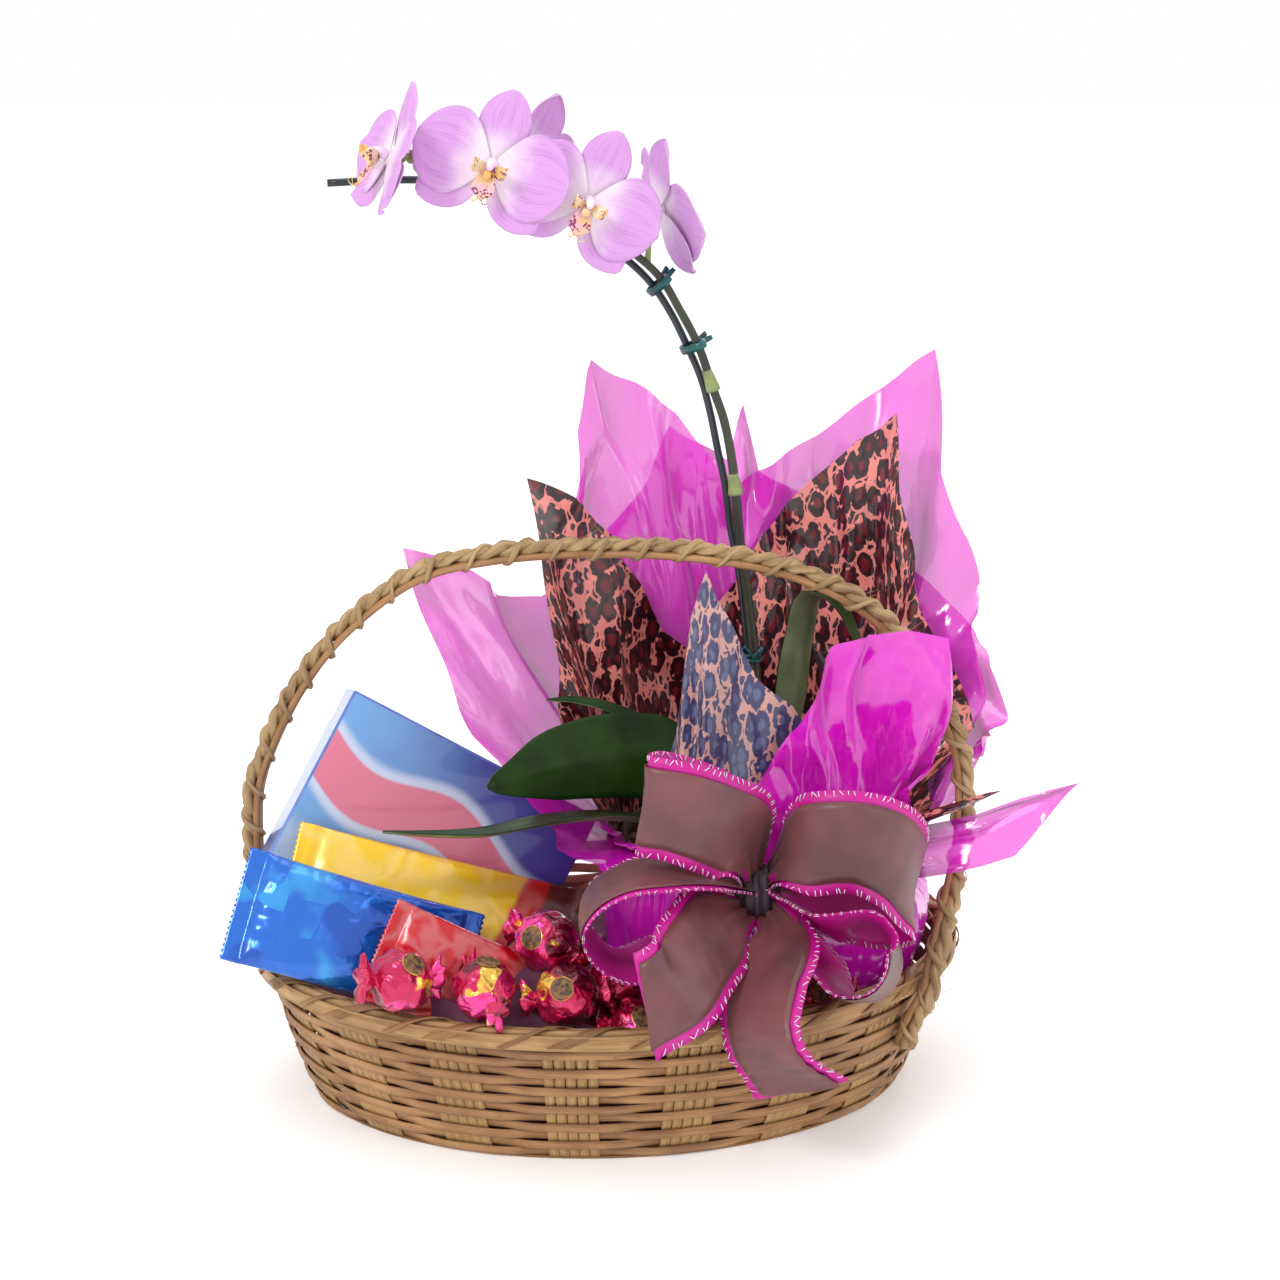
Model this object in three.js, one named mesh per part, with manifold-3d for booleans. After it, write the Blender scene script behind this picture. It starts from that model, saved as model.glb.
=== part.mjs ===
// Moth orchid in a gift basket: a potted moth orchid, wrapped in printed film and cellophane,
// with a bow and packed sweets in an oval woven basket with a roped hoop handle.
// Millimetres, +Z up, +X along the basket's long side, -Y towards the front.
// The origin is the centre of the basket's flat underside.

import * as THREE from 'three';
import { mergeVertices } from 'three/addons/utils/BufferGeometryUtils.js';
import Module from 'manifold-3d';

const wasm = await Module();
wasm.setup();

// Driving dimensions

const GAP = 0.35;

const BASKET = {
  rimA: 177, rimB: 130, baseA: 155, baseB: 110,
  rimHeight: 72, wallTop: 66, wallThick: 4.5, bulge: 0.8,
  rows: 12, stakes: 18, relief: 1.2, floorThick: 4.3,
};
const BRAID = { halfWidth: 6, halfHeight: 5.6, twists: 15, relief: 0.13 };
const HANDLE = {
  turn: -14, shiftX: -6, feetBelow: 125, stripWide: 8.5, stripThick: 3.6,
  ropeRadius: 3.3, ropeTwists: 15, ropeSides: 5, loops: 12, loopRadius: 1.4, steps: 46,
};
const POT = { x: 78, y: 8, baseRadius: 50, rimRadius: 70.6, base: 8.6, top: 126, wall: 1.6, floor: 2.5 };
const BARK = { top: 116, relief: 2.2 };
const CROWN = { x: 78, y: 10, radius: 9, bottom: 112, top: 142 };
const FILM = {
  thick: 0.7, pitch: 1.3, lowest: 5.0, baseRadius: 53, tieRadius: 72.3, tieZ: 128, cupZ: 92, neckZ: 115,
};
const FLAP = { from: 322, to: 338, near: 75, far: 115, turn: -14 };
const BAND = { bottom: 117.5, top: 125.5, thick: 1.2 };
const RIBBON = { half: 21, thick: 0.7, spacing: 1.5, gather: 0.2, tailGather: 0.35 };
const BLOOM = { petalLong: 38, petalHalf: 20, sepalLong: 37, sepalHalf: 12, thick: 0.8 };
const SPIKE = { baseRadius: 2.9, tipRadius: 1.6, sides: 5 };
const WIRE_RADIUS = 1.9;
const CARTON = { long: 146, high: 98, thick: 30 };

const COLOURS = {
  bamboo: 0xb98a4e, straw: 0xc9ae78, pot: 0x2f2b29, bark: 0x4a3323, leaf: 0x2f5a26, spike: 0x4c5230,
  wire: 0x27313a, clip: 0x1f6f6b, petal: 0xd9a6dc, lip: 0xe8b93c, leopard: 0xb8574f, cellophane: 0xe61fc0,
  satin: 0x7f5254, sheer: 0xd412ac, paper: 0x8b6a4a, carton: 0x4c6fc0, yellow: 0xf2c313,
  blue: 0x1769c4, red: 0xc51d27, foil: 0xd01c53,
};

const RAD = Math.PI / 180;
const v3 = (x, y, z) => new THREE.Vector3(x, y, z);
const list = (rows) => rows.map(([x, y, z]) => v3(x, y, z));
const mix = (a, b, k) => a + (b - a) * k;

// Closed bodies from grids of points

/** Signed volume of a closed triangle list, used to turn a body's faces outward. */
function signedVolume(points, triangles) {
  let total = 0;
  for (const [a, b, c] of triangles) {
    total += points[a].dot(points[b].clone().cross(points[c]));
  }
  return total / 6;
}

/** A geometry of the given points and triangles with its faces turned outward. */
function bodyOf(points, triangles) {
  const turned = signedVolume(points, triangles) < 0 ? triangles.map(([a, b, c]) => [a, c, b]) : triangles;
  const geometry = new THREE.BufferGeometry();
  geometry.setAttribute('position', new THREE.Float32BufferAttribute(points.flatMap((p) => p.toArray()), 3));
  geometry.setIndex(turned.flat());
  return geometry;
}

/** Two triangles for each cell of a grid stored row by row. */
function gridTriangles(rows, columns, wrap, start = 0) {
  const triangles = [];
  const cells = wrap ? columns : columns - 1;
  for (let i = 0; i < rows - 1; i += 1) {
    for (let j = 0; j < cells; j += 1) {
      const a = start + i * columns + j;
      const b = start + i * columns + ((j + 1) % columns);
      triangles.push([a, b, b + columns], [a, b + columns, a + columns]);
    }
  }
  return triangles;
}

/** A ring-shaped body: each of the sections is a closed loop, and the last joins the first. */
function ringBody(sections) {
  const columns = sections[0].length;
  const triangles = [];
  for (let i = 0; i < sections.length; i += 1) {
    const next = (i + 1) % sections.length;
    for (let j = 0; j < columns; j += 1) {
      const k = (j + 1) % columns;
      triangles.push([i * columns + j, next * columns + j, next * columns + k]);
      triangles.push([i * columns + j, next * columns + k, i * columns + k]);
    }
  }
  return bodyOf(sections.flat(), triangles);
}

/** A solid whose sections are closed loops, with a fan over each end. */
function sweptBody(sections) {
  const columns = sections[0].length;
  const points = sections.flat();
  const triangles = gridTriangles(sections.length, columns, true);
  const ends = [[0, sections[0]], [(sections.length - 1) * columns, sections[sections.length - 1]]];
  ends.forEach(([start, loop], which) => {
    const middle = loop.reduce((sum, p) => sum.add(p), v3(0, 0, 0)).divideScalar(columns);
    const centre = points.push(middle) - 1;
    for (let j = 0; j < columns; j += 1) {
      const k = (j + 1) % columns;
      triangles.push(which === 0 ? [start + k, start + j, centre] : [start + j, start + k, centre]);
    }
  });
  return bodyOf(points, triangles);
}

/** The unit normals of a grid of points, from its neighbours along rows and columns. */
function gridNormals(grid, wrap) {
  const rows = grid.length;
  const columns = grid[0].length;
  return grid.map((row, i) => row.map((_, j) => {
    const up = grid[Math.min(i + 1, rows - 1)][j];
    const down = grid[Math.max(i - 1, 0)][j];
    const right = wrap ? row[(j + 1) % columns] : row[Math.min(j + 1, columns - 1)];
    const left = wrap ? row[(j + columns - 1) % columns] : row[Math.max(j - 1, 0)];
    return up.clone().sub(down).cross(right.clone().sub(left)).normalize();
  }));
}

/** A body between two faces, each a grid of points of the same size, with walls round the edge. */
function facesBody(upper, lower) {
  const rows = upper.length;
  const columns = upper[0].length;
  const count = rows * columns;
  const front = gridTriangles(rows, columns, false);
  const triangles = [...front, ...front.map(([a, b, c]) => [a + count, c + count, b + count])];
  const edge = [];
  for (let j = 0; j < columns; j += 1) edge.push(j);
  for (let i = 1; i < rows; i += 1) edge.push(i * columns + columns - 1);
  for (let j = columns - 2; j >= 0; j -= 1) edge.push((rows - 1) * columns + j);
  for (let i = rows - 2; i > 0; i -= 1) edge.push(i * columns);
  edge.forEach((a, n) => {
    const b = edge[(n + 1) % edge.length];
    triangles.push([a, a + count, b + count], [a, b + count, b]);
  });
  return bodyOf([...upper.flat(), ...lower.flat()], triangles);
}

/** A thin blade or strip: a grid of points thickened to both sides. */
function bladeBody(grid, thick, normals = gridNormals(grid, false)) {
  const side = (sign) => grid.map((row, i) => row.map((p, j) => (
    p.clone().addScaledVector(normals[i][j], sign * thick / 2))));
  return facesBody(side(1), side(-1));
}

/** Frames along a path: each has the point, the tangent and two directions across it. */
function framesAlong(path, steps, hint) {
  const curve = new THREE.CatmullRomCurve3(path, false, 'centripetal');
  let across = hint.clone();
  const frames = [];
  for (let i = 0; i <= steps; i += 1) {
    const tangent = curve.getTangentAt(i / steps);
    across = across.addScaledVector(tangent, -across.dot(tangent)).normalize();
    frames.push({
      at: curve.getPointAt(i / steps), tangent, across: across.clone(), other: tangent.clone().cross(across),
    });
  }
  return frames;
}

/** A stem-like solid along a path, its radius given along its length from 0 to 1. */
function stemBody(path, radiusAt, steps, sides) {
  const frames = framesAlong(path, steps, v3(0.2, 1, 0.1));
  return sweptBody(frames.map((frame, i) => {
    const radius = radiusAt(i / steps);
    return Array.from({ length: sides }, (_, j) => {
      const angle = j / sides * 2 * Math.PI;
      return frame.at.clone().addScaledVector(frame.across, radius * Math.cos(angle))
        .addScaledVector(frame.other, radius * Math.sin(angle));
    });
  }));
}

/** A lathed solid about the Z axis from a profile of [radius, height] pairs. */
function lathed(profile, segments) {
  const outline = profile.map(([r, z]) => new THREE.Vector2(r, z));
  return new THREE.LatheGeometry(outline, segments).rotateX(Math.PI / 2);
}

// Joining and cutting

/** A solid for joining and cutting, made from a geometry with merged points. */
function solidOf(geometry) {
  const plain = geometry.clone();
  plain.deleteAttribute('normal');
  plain.deleteAttribute('uv');
  const merged = mergeVertices(plain, 1e-4);
  const kept = [];
  const index = merged.index.array;
  for (let i = 0; i < index.length; i += 3) {
    const [a, b, c] = [index[i], index[i + 1], index[i + 2]];
    if (a !== b && b !== c && a !== c) kept.push(a, b, c);
  }
  return new wasm.Manifold(new wasm.Mesh({
    numProp: 3,
    vertProperties: new Float32Array(merged.attributes.position.array),
    triVerts: new Uint32Array(kept),
  }));
}

/** The geometry of a joined or cut solid. */
function geometryOf(solid) {
  const mesh = solid.getMesh();
  const geometry = new THREE.BufferGeometry();
  geometry.setAttribute('position', new THREE.Float32BufferAttribute(mesh.vertProperties, 3));
  geometry.setIndex(Array.from(mesh.triVerts));
  return geometry;
}

const joined = (geometries) => geometryOf(geometries.map(solidOf).reduce((sum, one) => sum.add(one)));
const cutBy = (geometry, cutters) => geometryOf(
  cutters.map(solidOf).reduce((rest, one) => rest.subtract(one), solidOf(geometry)),
);

// The finished group

const orchidBasket = new THREE.Group();

/** Adds a named mesh with its own material to the group. */
function place(name, geometry, colour, roughness = 0.7, metalness = 0) {
  const material = new THREE.MeshStandardMaterial({ color: colour, roughness, metalness });
  const mesh = new THREE.Mesh(geometry, material);
  mesh.name = name;
  orchidBasket.add(mesh);
  return mesh;
}

// Basket

/** The half axes of the wall's outside at a height. */
function wallAxes(z) {
  const rise = (Math.max(z, 0) / BASKET.rimHeight) ** BASKET.bulge;
  return [mix(BASKET.baseA, BASKET.rimA, rise), mix(BASKET.baseB, BASKET.rimB, rise)];
}

/** A point on the basket's oval at a height, moved outward by an offset. */
function ovalPoint(angle, z, offset) {
  const [a, b] = wallAxes(z);
  return v3((a + offset) * Math.cos(angle), (b + offset) * Math.sin(angle), z);
}

/** The woven wall: each row passes over one stake and under the next. */
function basketWall() {
  const columns = BASKET.stakes * 2;
  const pitch = (BASKET.wallTop - 2) / BASKET.rows;
  const sections = [];
  for (let c = 0; c < columns; c += 1) {
    const angle = c / columns * 2 * Math.PI;
    const outside = [ovalPoint(angle, 0, -BASKET.relief)];
    for (let row = 0; row < BASKET.rows; row += 1) {
      const overStake = (c / 2 + row) % 2 === 0 ? 1 : -1;
      const wave = c % 2 === 0 ? overStake * BASKET.relief : 0;
      outside.push(ovalPoint(angle, 2 + row * pitch, -BASKET.relief * 1.6));
      outside.push(ovalPoint(angle, 2 + (row + 0.5) * pitch, wave * 0.8));
    }
    outside.push(ovalPoint(angle, BASKET.wallTop, -BASKET.relief));
    const inside = [BASKET.wallTop, 0].map((z) => ovalPoint(angle, z, -BASKET.wallThick));
    sections.push([...outside, ...inside]);
  }
  return ringBody(sections);
}

/** The oval floor, flat underneath, just inside the wall. */
function basketFloor() {
  const columns = BASKET.stakes * 2;
  const inset = -BASKET.wallThick - GAP * 2;
  const loop = (z) => Array.from({ length: columns }, (_, c) => (
    ovalPoint(c / columns * 2 * Math.PI, 0, inset).setZ(z)));
  return sweptBody([loop(0), loop(BASKET.floorThick)]);
}

/** The border bundle on top of the wall, wrapped by a slanting splint. */
function rimBraid() {
  const steps = 48;
  const sides = 6;
  const centreZ = BASKET.wallTop + GAP + BRAID.halfHeight * (1 + BRAID.relief);
  const sections = Array.from({ length: steps }, (_, i) => {
    const angle = i / steps * 2 * Math.PI;
    return Array.from({ length: sides }, (__, j) => {
      const turn = j / sides * 2 * Math.PI;
      const swell = 1 + BRAID.relief * Math.cos(turn * 2 + angle * BRAID.twists);
      const point = ovalPoint(angle, BASKET.rimHeight, BRAID.halfWidth * swell * Math.cos(turn));
      return point.setZ(centreZ + BRAID.halfHeight * swell * Math.sin(turn));
    });
  });
  return ringBody(sections);
}

/** Points of the hoop: distance from its middle, height, and how far the plane is turned there. */
const HOOP_OUTLINE = [
  [163.5, 38, -26], [167.5, 50, -26], [172, 60, -26.5], [177.6, 72, -27], [178.2, 84, -26], [179.5, 98, -23],
  [181.5, 116, -18.5], [184, 130, -14.8], [185, 150, -14], [183.5, 178, -14], [177, 198, -14], [162, 226, -14],
  [142, 248.5, -14], [119.5, 263, -14], [89.5, 273.5, -14], [45, 279, -14], [0, 279, -14], [-50, 273.8, -14],
  [-89.3, 262.8, -14], [-127.3, 234, -14], [-153, 202, -14], [-171.2, 167, -14], [-178.5, 145, -14],
  [-180.2, 119.5, -14], [-179.5, 98, -14], [-177.5, 82, -14], [-176.9, 72, -14], [-171, 60, -14],
  [-166.8, 50, -14], [-161.5, 38, -14],
];

/** A point of the hoop in the basket's frame. */
const hoopPoint = (distance, z, turn) => v3(
  HANDLE.shiftX + distance * Math.cos(turn * RAD), distance * Math.sin(turn * RAD), z,
);

/** The level direction across the strip: the feet lie flat along the wall. */
function hoopSide(at) {
  const plane = v3(-Math.sin(HANDLE.turn * RAD), Math.cos(HANDLE.turn * RAD), 0);
  const down = Math.min(1, Math.max(0, (HANDLE.feetBelow - at.z) / (HANDLE.feetBelow - BASKET.rimHeight)));
  const alongWall = v3(-at.y / BASKET.rimB ** 2, at.x / BASKET.rimA ** 2, 0).multiplyScalar(Math.sign(at.x));
  return plane.lerp(alongWall.normalize(), down).normalize();
}

/** Frames along the hoop, with the outward direction and the direction across it. */
function hoopFrames(steps) {
  const path = HOOP_OUTLINE.map((row) => hoopPoint(...row));
  const middle = hoopPoint(0, 130, HANDLE.turn);
  return framesAlong(path, steps, v3(0, 1, 0)).map(({ at, tangent }) => {
    const side = hoopSide(at);
    const outward = side.clone().cross(tangent).normalize();
    if (outward.dot(at.clone().sub(middle)) < 0) outward.negate();
    return { at, side, outward };
  });
}

/** The bent bamboo strip. */
function handleHoop() {
  const frames = hoopFrames(HANDLE.steps);
  return sweptBody(frames.map(({ at, side, outward }) => [[-1, -1], [1, -1], [1, 1], [-1, 1]].map(([s, o]) => (
    at.clone().addScaledVector(side, s * HANDLE.stripWide / 2).addScaledVector(outward, o * HANDLE.stripThick / 2)
  ))));
}

/** One lashing loop round strip and rope, slanting along the handle. */
function lashing({ at, side, outward }, lift) {
  const along = side.clone().cross(outward);
  const half = HANDLE.stripWide / 2 + GAP * 4 + HANDLE.loopRadius;
  const below = -(HANDLE.stripThick / 2 + GAP * 4 + HANDLE.loopRadius);
  const corners = [[-half, below], [half, below], [half, 3], [0, lift + HANDLE.ropeRadius], [-half, 3]];
  return ringBody(corners.map(([s, o]) => {
    const centre = at.clone().addScaledVector(side, s).addScaledVector(outward, o)
      .addScaledVector(along, o * 0.15);
    const out = side.clone().multiplyScalar(s).addScaledVector(outward, o).normalize();
    return [[1, 0], [-0.5, 0.9], [-0.5, -0.9]].map(([reach, length]) => centre.clone()
      .addScaledVector(out, reach * HANDLE.loopRadius).addScaledVector(along, length * HANDLE.loopRadius));
  }));
}

/** The twisted rope on the strip's outer side, with lashing loops round strip and rope. */
function handleRope() {
  const { steps } = HANDLE;
  const lift = HANDLE.stripThick / 2 + GAP * 3 + HANDLE.ropeRadius * 1.16;
  const rope = sweptBody(hoopFrames(steps).map(({ at, side, outward }, i) => {
    const centre = at.clone().addScaledVector(outward, lift);
    return Array.from({ length: HANDLE.ropeSides }, (_, j) => {
      const turn = j / HANDLE.ropeSides * 2 * Math.PI;
      const swell = 1 + 0.16 * Math.cos(turn * 2 - i / steps * HANDLE.ropeTwists * 2 * Math.PI);
      return centre.clone().addScaledVector(side, HANDLE.ropeRadius * swell * Math.cos(turn))
        .addScaledVector(outward, HANDLE.ropeRadius * swell * Math.sin(turn));
    });
  }));
  const spots = hoopFrames(HANDLE.loops + 1).slice(1, -1);
  return joined([rope, ...spots.map((spot) => lashing(spot, lift))]);
}

// Pot, bark and crown

/** Radius of the pot's outside at a height. */
const potRadius = (z) => mix(POT.baseRadius, POT.rimRadius - 1.4, (z - POT.base) / (POT.top - POT.base));

/** The plastic pot: a thin-walled cup with a rolled rim. */
function nurseryPot() {
  const inner = potRadius(POT.top) - POT.wall;
  return lathed([
    [0, POT.base], [POT.baseRadius, POT.base], [potRadius(POT.top - 8), POT.top - 8],
    [POT.rimRadius, POT.top - 7], [POT.rimRadius, POT.top], [inner, POT.top],
    [POT.baseRadius - POT.wall, POT.base + POT.floor], [0, POT.base + POT.floor],
  ], 20).translate(POT.x, POT.y, 0);
}

/** The bark filling with a lumpy top. */
function pottingBark() {
  const steps = 16;
  const low = POT.base + POT.floor + GAP;
  const insideRadius = (z) => potRadius(z) - POT.wall - 1.7;
  const ring = (radius, z, lumpy) => Array.from({ length: steps }, (_, i) => {
    const angle = i / steps * 2 * Math.PI;
    const lump = lumpy * BARK.relief * Math.sin(i * 2.4 + radius * 0.7);
    return v3(POT.x + radius * Math.cos(angle), POT.y + radius * Math.sin(angle), z + lump);
  });
  return sweptBody([
    ring(insideRadius(low) - 1, low, 0), ring(insideRadius(BARK.top) - 0.4, BARK.top - 3, 0),
    ring(50, BARK.top, 1), ring(26, BARK.top, 1),
  ]);
}

/** The short stem that carries leaves and spike, grown by a margin where it serves as a cutter. */
function crownBody(margin = 0) {
  const { radius, bottom, top } = CROWN;
  return lathed([
    [0, bottom - margin], [radius + 2 + margin, bottom - margin], [radius + margin, (bottom + top) / 2],
    [radius - 1.5 + margin, top - 5], [4 + margin, top + margin], [0, top + margin],
  ], 10).translate(CROWN.x, CROWN.y, 0);
}

/** Crown and aerial roots that lie over the bark as one body. */
function orchidCrown() {
  const roots = [20, 170].map((degrees) => {
    const [c, s] = [Math.cos(degrees * RAD), Math.sin(degrees * RAD)];
    const reach = (r, z) => v3(CROWN.x + r * c, CROWN.y + r * s, z);
    return stemBody([reach(5, 124), reach(18, 125), reach(32, 122.5)], (k) => 2.6 - 1.2 * k, 3, 4);
  });
  return joined([crownBody(), ...roots]);
}

// Leaves

const LEAVES = {
  leaf_1: {
    axis: [[72, 6, 138], [50, 2, 160], [31, -5, 171], [13, -12, 176], [-8, -20, 178], [-29, -28, 177],
      [-48, -36, 174], [-64, -41, 171]],
    half: 22, across: [0, 0.36, 0.93], fold: 0.16,
  },
  leaf_2: {
    axis: [[70, 0, 131], [44, -13, 139], [16, -21, 144], [-6, -30, 149], [-33, -38, 150], [-68, -44, 147],
      [-98, -48, 150], [-116, -50, 153]],
    half: 14, across: [0.1, -0.95, 0.27], fold: 0.2,
  },
  leaf_3: {
    axis: [[87, 12, 133], [98, 21, 180], [104, 26, 222], [110, 25, 248], [120, 19, 243], [129, 10, 228],
      [134, 4, 212]],
    half: 15, across: [0.55, 0.55, 0.62], fold: 0.15,
  },
  leaf_4: {
    axis: [[72, 14, 138], [45, 14, 168], [20, 9, 188], [0, 6, 198], [-18, 4, 202], [-31, 2, 202]],
    half: 7, across: [0, 0.98, 0.18], fold: 0.2,
  },
};

/** How wide a leaf is along its length, as a share of its half width. */
function leafWidth(k) {
  const narrowBase = Math.min(1, 0.28 + k * 1.9);
  const pointedTip = Math.sqrt(Math.max(0, 1 - ((k - 0.42) / 0.58) ** 2 * (k > 0.42 ? 1 : 0)));
  return Math.max(0.05, narrowBase * pointedTip);
}

/** A channelled leaf blade, cut clear of the crown that it grows from. */
function leafBlade({ axis, half, across, fold }) {
  const steps = 9;
  const frames = framesAlong(list(axis), steps, v3(...across));
  const grid = frames.map((frame, i) => {
    const width = half * leafWidth(i / steps);
    return [-1, 0, 1].map((t) => frame.at.clone().addScaledVector(frame.across, t * width)
      .addScaledVector(frame.other, Math.abs(t) * width * fold));
  });
  return cutBy(bladeBody(grid, 1.8), [crownBody(GAP)]);
}

// Spike, wire and clips

const SPIKE_ROUTE = [
  [80, 12, 138], [80, 16, 170], [79, 17, 199], [74, 17, 248], [70.5, 17, 270], [67, 16, 304], [64, 15, 326],
  [60, 14, 344], [55, 14, 358], [47, 13, 381], [37, 12, 400], [28, 10, 415], [14, 10, 428], [-2, 10, 438],
  [-27, 9, 452], [-48, 8, 461], [-65, 6, 467], [-80, 2, 468], [-88, -4, 473], [-93, -10, 476],
];
const WIRE_ROUTE = [
  [79, 30, 60], [79.5, 28, 130], [77, 23.5, 198], [69, 22.5, 268], [66, 22, 281], [62, 21.5, 309],
  [58, 20.5, 327], [54, 19.5, 346], [49, 19, 364], [42, 18.5, 380], [33, 17, 398], [21, 16.5, 415],
  [-2, 16.5, 434], [-26, 16, 447], [-48, 17, 457], [-70, 20, 461], [-87, 23, 463], [-110, 24, 463],
  [-134, 24, 462],
];

/** The bent support wire. */
function supportWire(margin = 0) {
  const [[x, y, z], ...rest] = WIRE_ROUTE;
  return stemBody(list([[x, y, z - margin], ...rest]), () => WIRE_RADIUS + margin, 28, 5);
}

/** A small sleeve on a stem between two of its points. */
function sheath(from, to, radius) {
  const path = [from, from.clone().lerp(to, 0.5), to];
  return stemBody(path, (k) => radius * (1 - 0.35 * k), 1, 5);
}

/** Where each bloom sits, which way it faces and how far it is rolled, with its pedicel's foot. */
const BLOOMS = [
  { at: [-104, -20, 478], face: [-0.88, -0.22, 0.38], roll: 0, foot: [-91, -8, 475], cup: 5 },
  { at: [-57, -29, 475], face: [-0.06, -0.99, 0.1], roll: -20, foot: [-57, 7, 464], cup: 2 },
  { at: [-11, -18, 456], face: [0.1, -0.98, 0.02], roll: -28, foot: [-4, 10, 438], cup: 2 },
  { at: [31, 32, 447], face: [0.95, 0.25, 0.2], roll: 20, foot: [21, 10, 421.5], cup: 6 },
  { at: [-38, 44, 470], face: [-0.55, 0.75, 0.35], roll: 25, foot: [-34, 10, 455], cup: 4 },
];

/** The turn that takes a bloom's own axes to its place: local Z faces outward. */
function bloomTurn({ face, roll }) {
  const outward = v3(...face).normalize();
  const right = v3(0, 0, 1).cross(outward).normalize();
  const up = outward.clone().cross(right);
  const basis = new THREE.Matrix4().makeBasis(right, up, outward);
  return basis.multiply(new THREE.Matrix4().makeRotationZ(roll * RAD));
}

/** A bloom geometry moved to its place. */
const settled = (geometry, bloom) => geometry.applyMatrix4(bloomTurn(bloom)).translate(...bloom.at);

/** The pedicel from the spike to the back of a bloom. */
function pedicel(bloom) {
  const back = v3(...bloom.face).normalize().multiplyScalar(-5.9).add(v3(...bloom.at));
  const foot = v3(...bloom.foot);
  const bend = foot.clone().lerp(back, 0.5).add(v3(0, 0, 2.5));
  return stemBody([foot, bend, back], (k) => 1.9 - 0.7 * Math.sin(Math.PI * k), 3, 4);
}

/** The scape with its sheaths, pedicels and last buds, cut clear of the crown. */
function flowerSpike() {
  const route = list(SPIKE_ROUTE);
  const radiusAt = (k) => mix(SPIKE.baseRadius, SPIKE.tipRadius, k);
  const scape = stemBody(route, radiusAt, 23, SPIKE.sides);
  const sheaths = [[5, 6, 4.1], [8, 9, 3.9], [14, 15, 3.3], [16, 17, 3.0]].map(([a, b, radius]) => {
    const reach = route[a].clone().sub(route[b]).length();
    return sheath(route[a], route[a].clone().lerp(route[b], Math.min(1, 9 / reach)), radius);
  });
  const buds = [[-94, -11, 478, 2.6], [-90.5, -6, 473, 2.4]].map(([x, y, z, radius]) => (
    new THREE.SphereGeometry(radius, 5, 3).translate(x, y, z)));
  return cutBy(joined([scape, ...sheaths, ...buds, ...BLOOMS.map(pedicel)]), [crownBody(GAP)]);
}

/** Each clip: the points of spike and wire that it holds, and the way they run there. */
const CLIPS = {
  clip_lower: { spike: [47, 13, 381], wire: [41.6, 18.5, 381], along: [-0.42, 0, 0.9] },
  clip_upper: { spike: [29.3, 10.3, 413.3], wire: [24.5, 16.6, 410], along: [-0.72, 0, 0.69] },
};

/** A clip: a flat oval ring round spike and wire, with a small tab. */
function clip({ spike, wire, along }) {
  const halfHigh = 2.2;
  const direction = v3(...along).normalize();
  const apart = v3(...wire).sub(v3(...spike));
  apart.addScaledVector(direction, -apart.dot(direction));
  const spread = apart.clone().normalize();
  const third = spread.clone().cross(direction);
  const centre = v3(...spike).addScaledVector(apart, 0.5);
  const loop = (grow, shift) => Array.from({ length: 8 }, (_, j) => {
    const angle = (j + 0.5) / 8 * 2 * Math.PI;
    return centre.clone().addScaledVector(direction, shift)
      .addScaledVector(spread, (apart.length() / 2 + 3.6 + grow) * Math.cos(angle))
      .addScaledVector(third, (4 + grow) * Math.sin(angle));
  });
  const sections = [loop(1.4, -halfHigh), loop(1.4, halfHigh), loop(0, halfHigh), loop(0, -halfHigh)];
  const turned = sections[0].map((_, j) => sections.map((section) => section[j]));
  const tab = new THREE.BoxGeometry(9, 3, 3.4).translate(9, -1, 0).applyMatrix4(
    new THREE.Matrix4().makeBasis(third, spread, direction).setPosition(centre),
  );
  return joined([ringBody(turned), tab]);
}

/** The twisted tie: two turns round spike and wire, with its crossed ends. */
function wireTie() {
  const centre = v3(76.3, 20, 218);
  const turn = (shift) => ringBody(Array.from({ length: 8 }, (_, j) => {
    const angle = j / 8 * 2 * Math.PI;
    const out = v3(0.85 * Math.cos(angle), Math.sin(angle), 0);
    const middle = centre.clone().addScaledVector(out, 7.6).add(v3(0, 0, shift + 0.8 * Math.sin(angle)));
    return [[1, 0], [-0.5, 0.9], [-0.5, -0.9]].map(([o, z]) => middle.clone().addScaledVector(out, o)
      .add(v3(0, 0, z)));
  }));
  const ends = [[-5, 7], [5, 6]].map(([x, z]) => (
    stemBody([centre.clone().add(v3(0, -7.6, -1)), centre.clone().add(v3(x, -9, z))], () => 0.9, 2, 4)));
  return joined([turn(-0.7), turn(0.7), ...ends]);
}

// Blooms

/** One tepal as a rounded blade in the bloom's own plane, pointing along an angle. */
function tepal({ long, half, angle, lift, cup, blunt, rows, columns }) {
  const grid = [];
  for (let i = 0; i <= rows; i += 1) {
    const k = i / rows;
    const row = [];
    const reach = mix(1.5, long, k);
    const width = half * Math.max(0.12, Math.sin(Math.PI * Math.min(1, 0.03 + 0.93 * k ** blunt)) ** 0.62);
    for (let j = 0; j <= columns; j += 1) {
      const t = j / columns * 2 - 1;
      const rise = lift + cup * k * k - 1.6 * Math.abs(t) * k;
      row.push(v3(reach - Math.abs(t) * width * 0.12, t * width, rise));
    }
    grid.push(row);
  }
  return bladeBody(grid, BLOOM.thick).rotateZ(angle * RAD);
}

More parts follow.
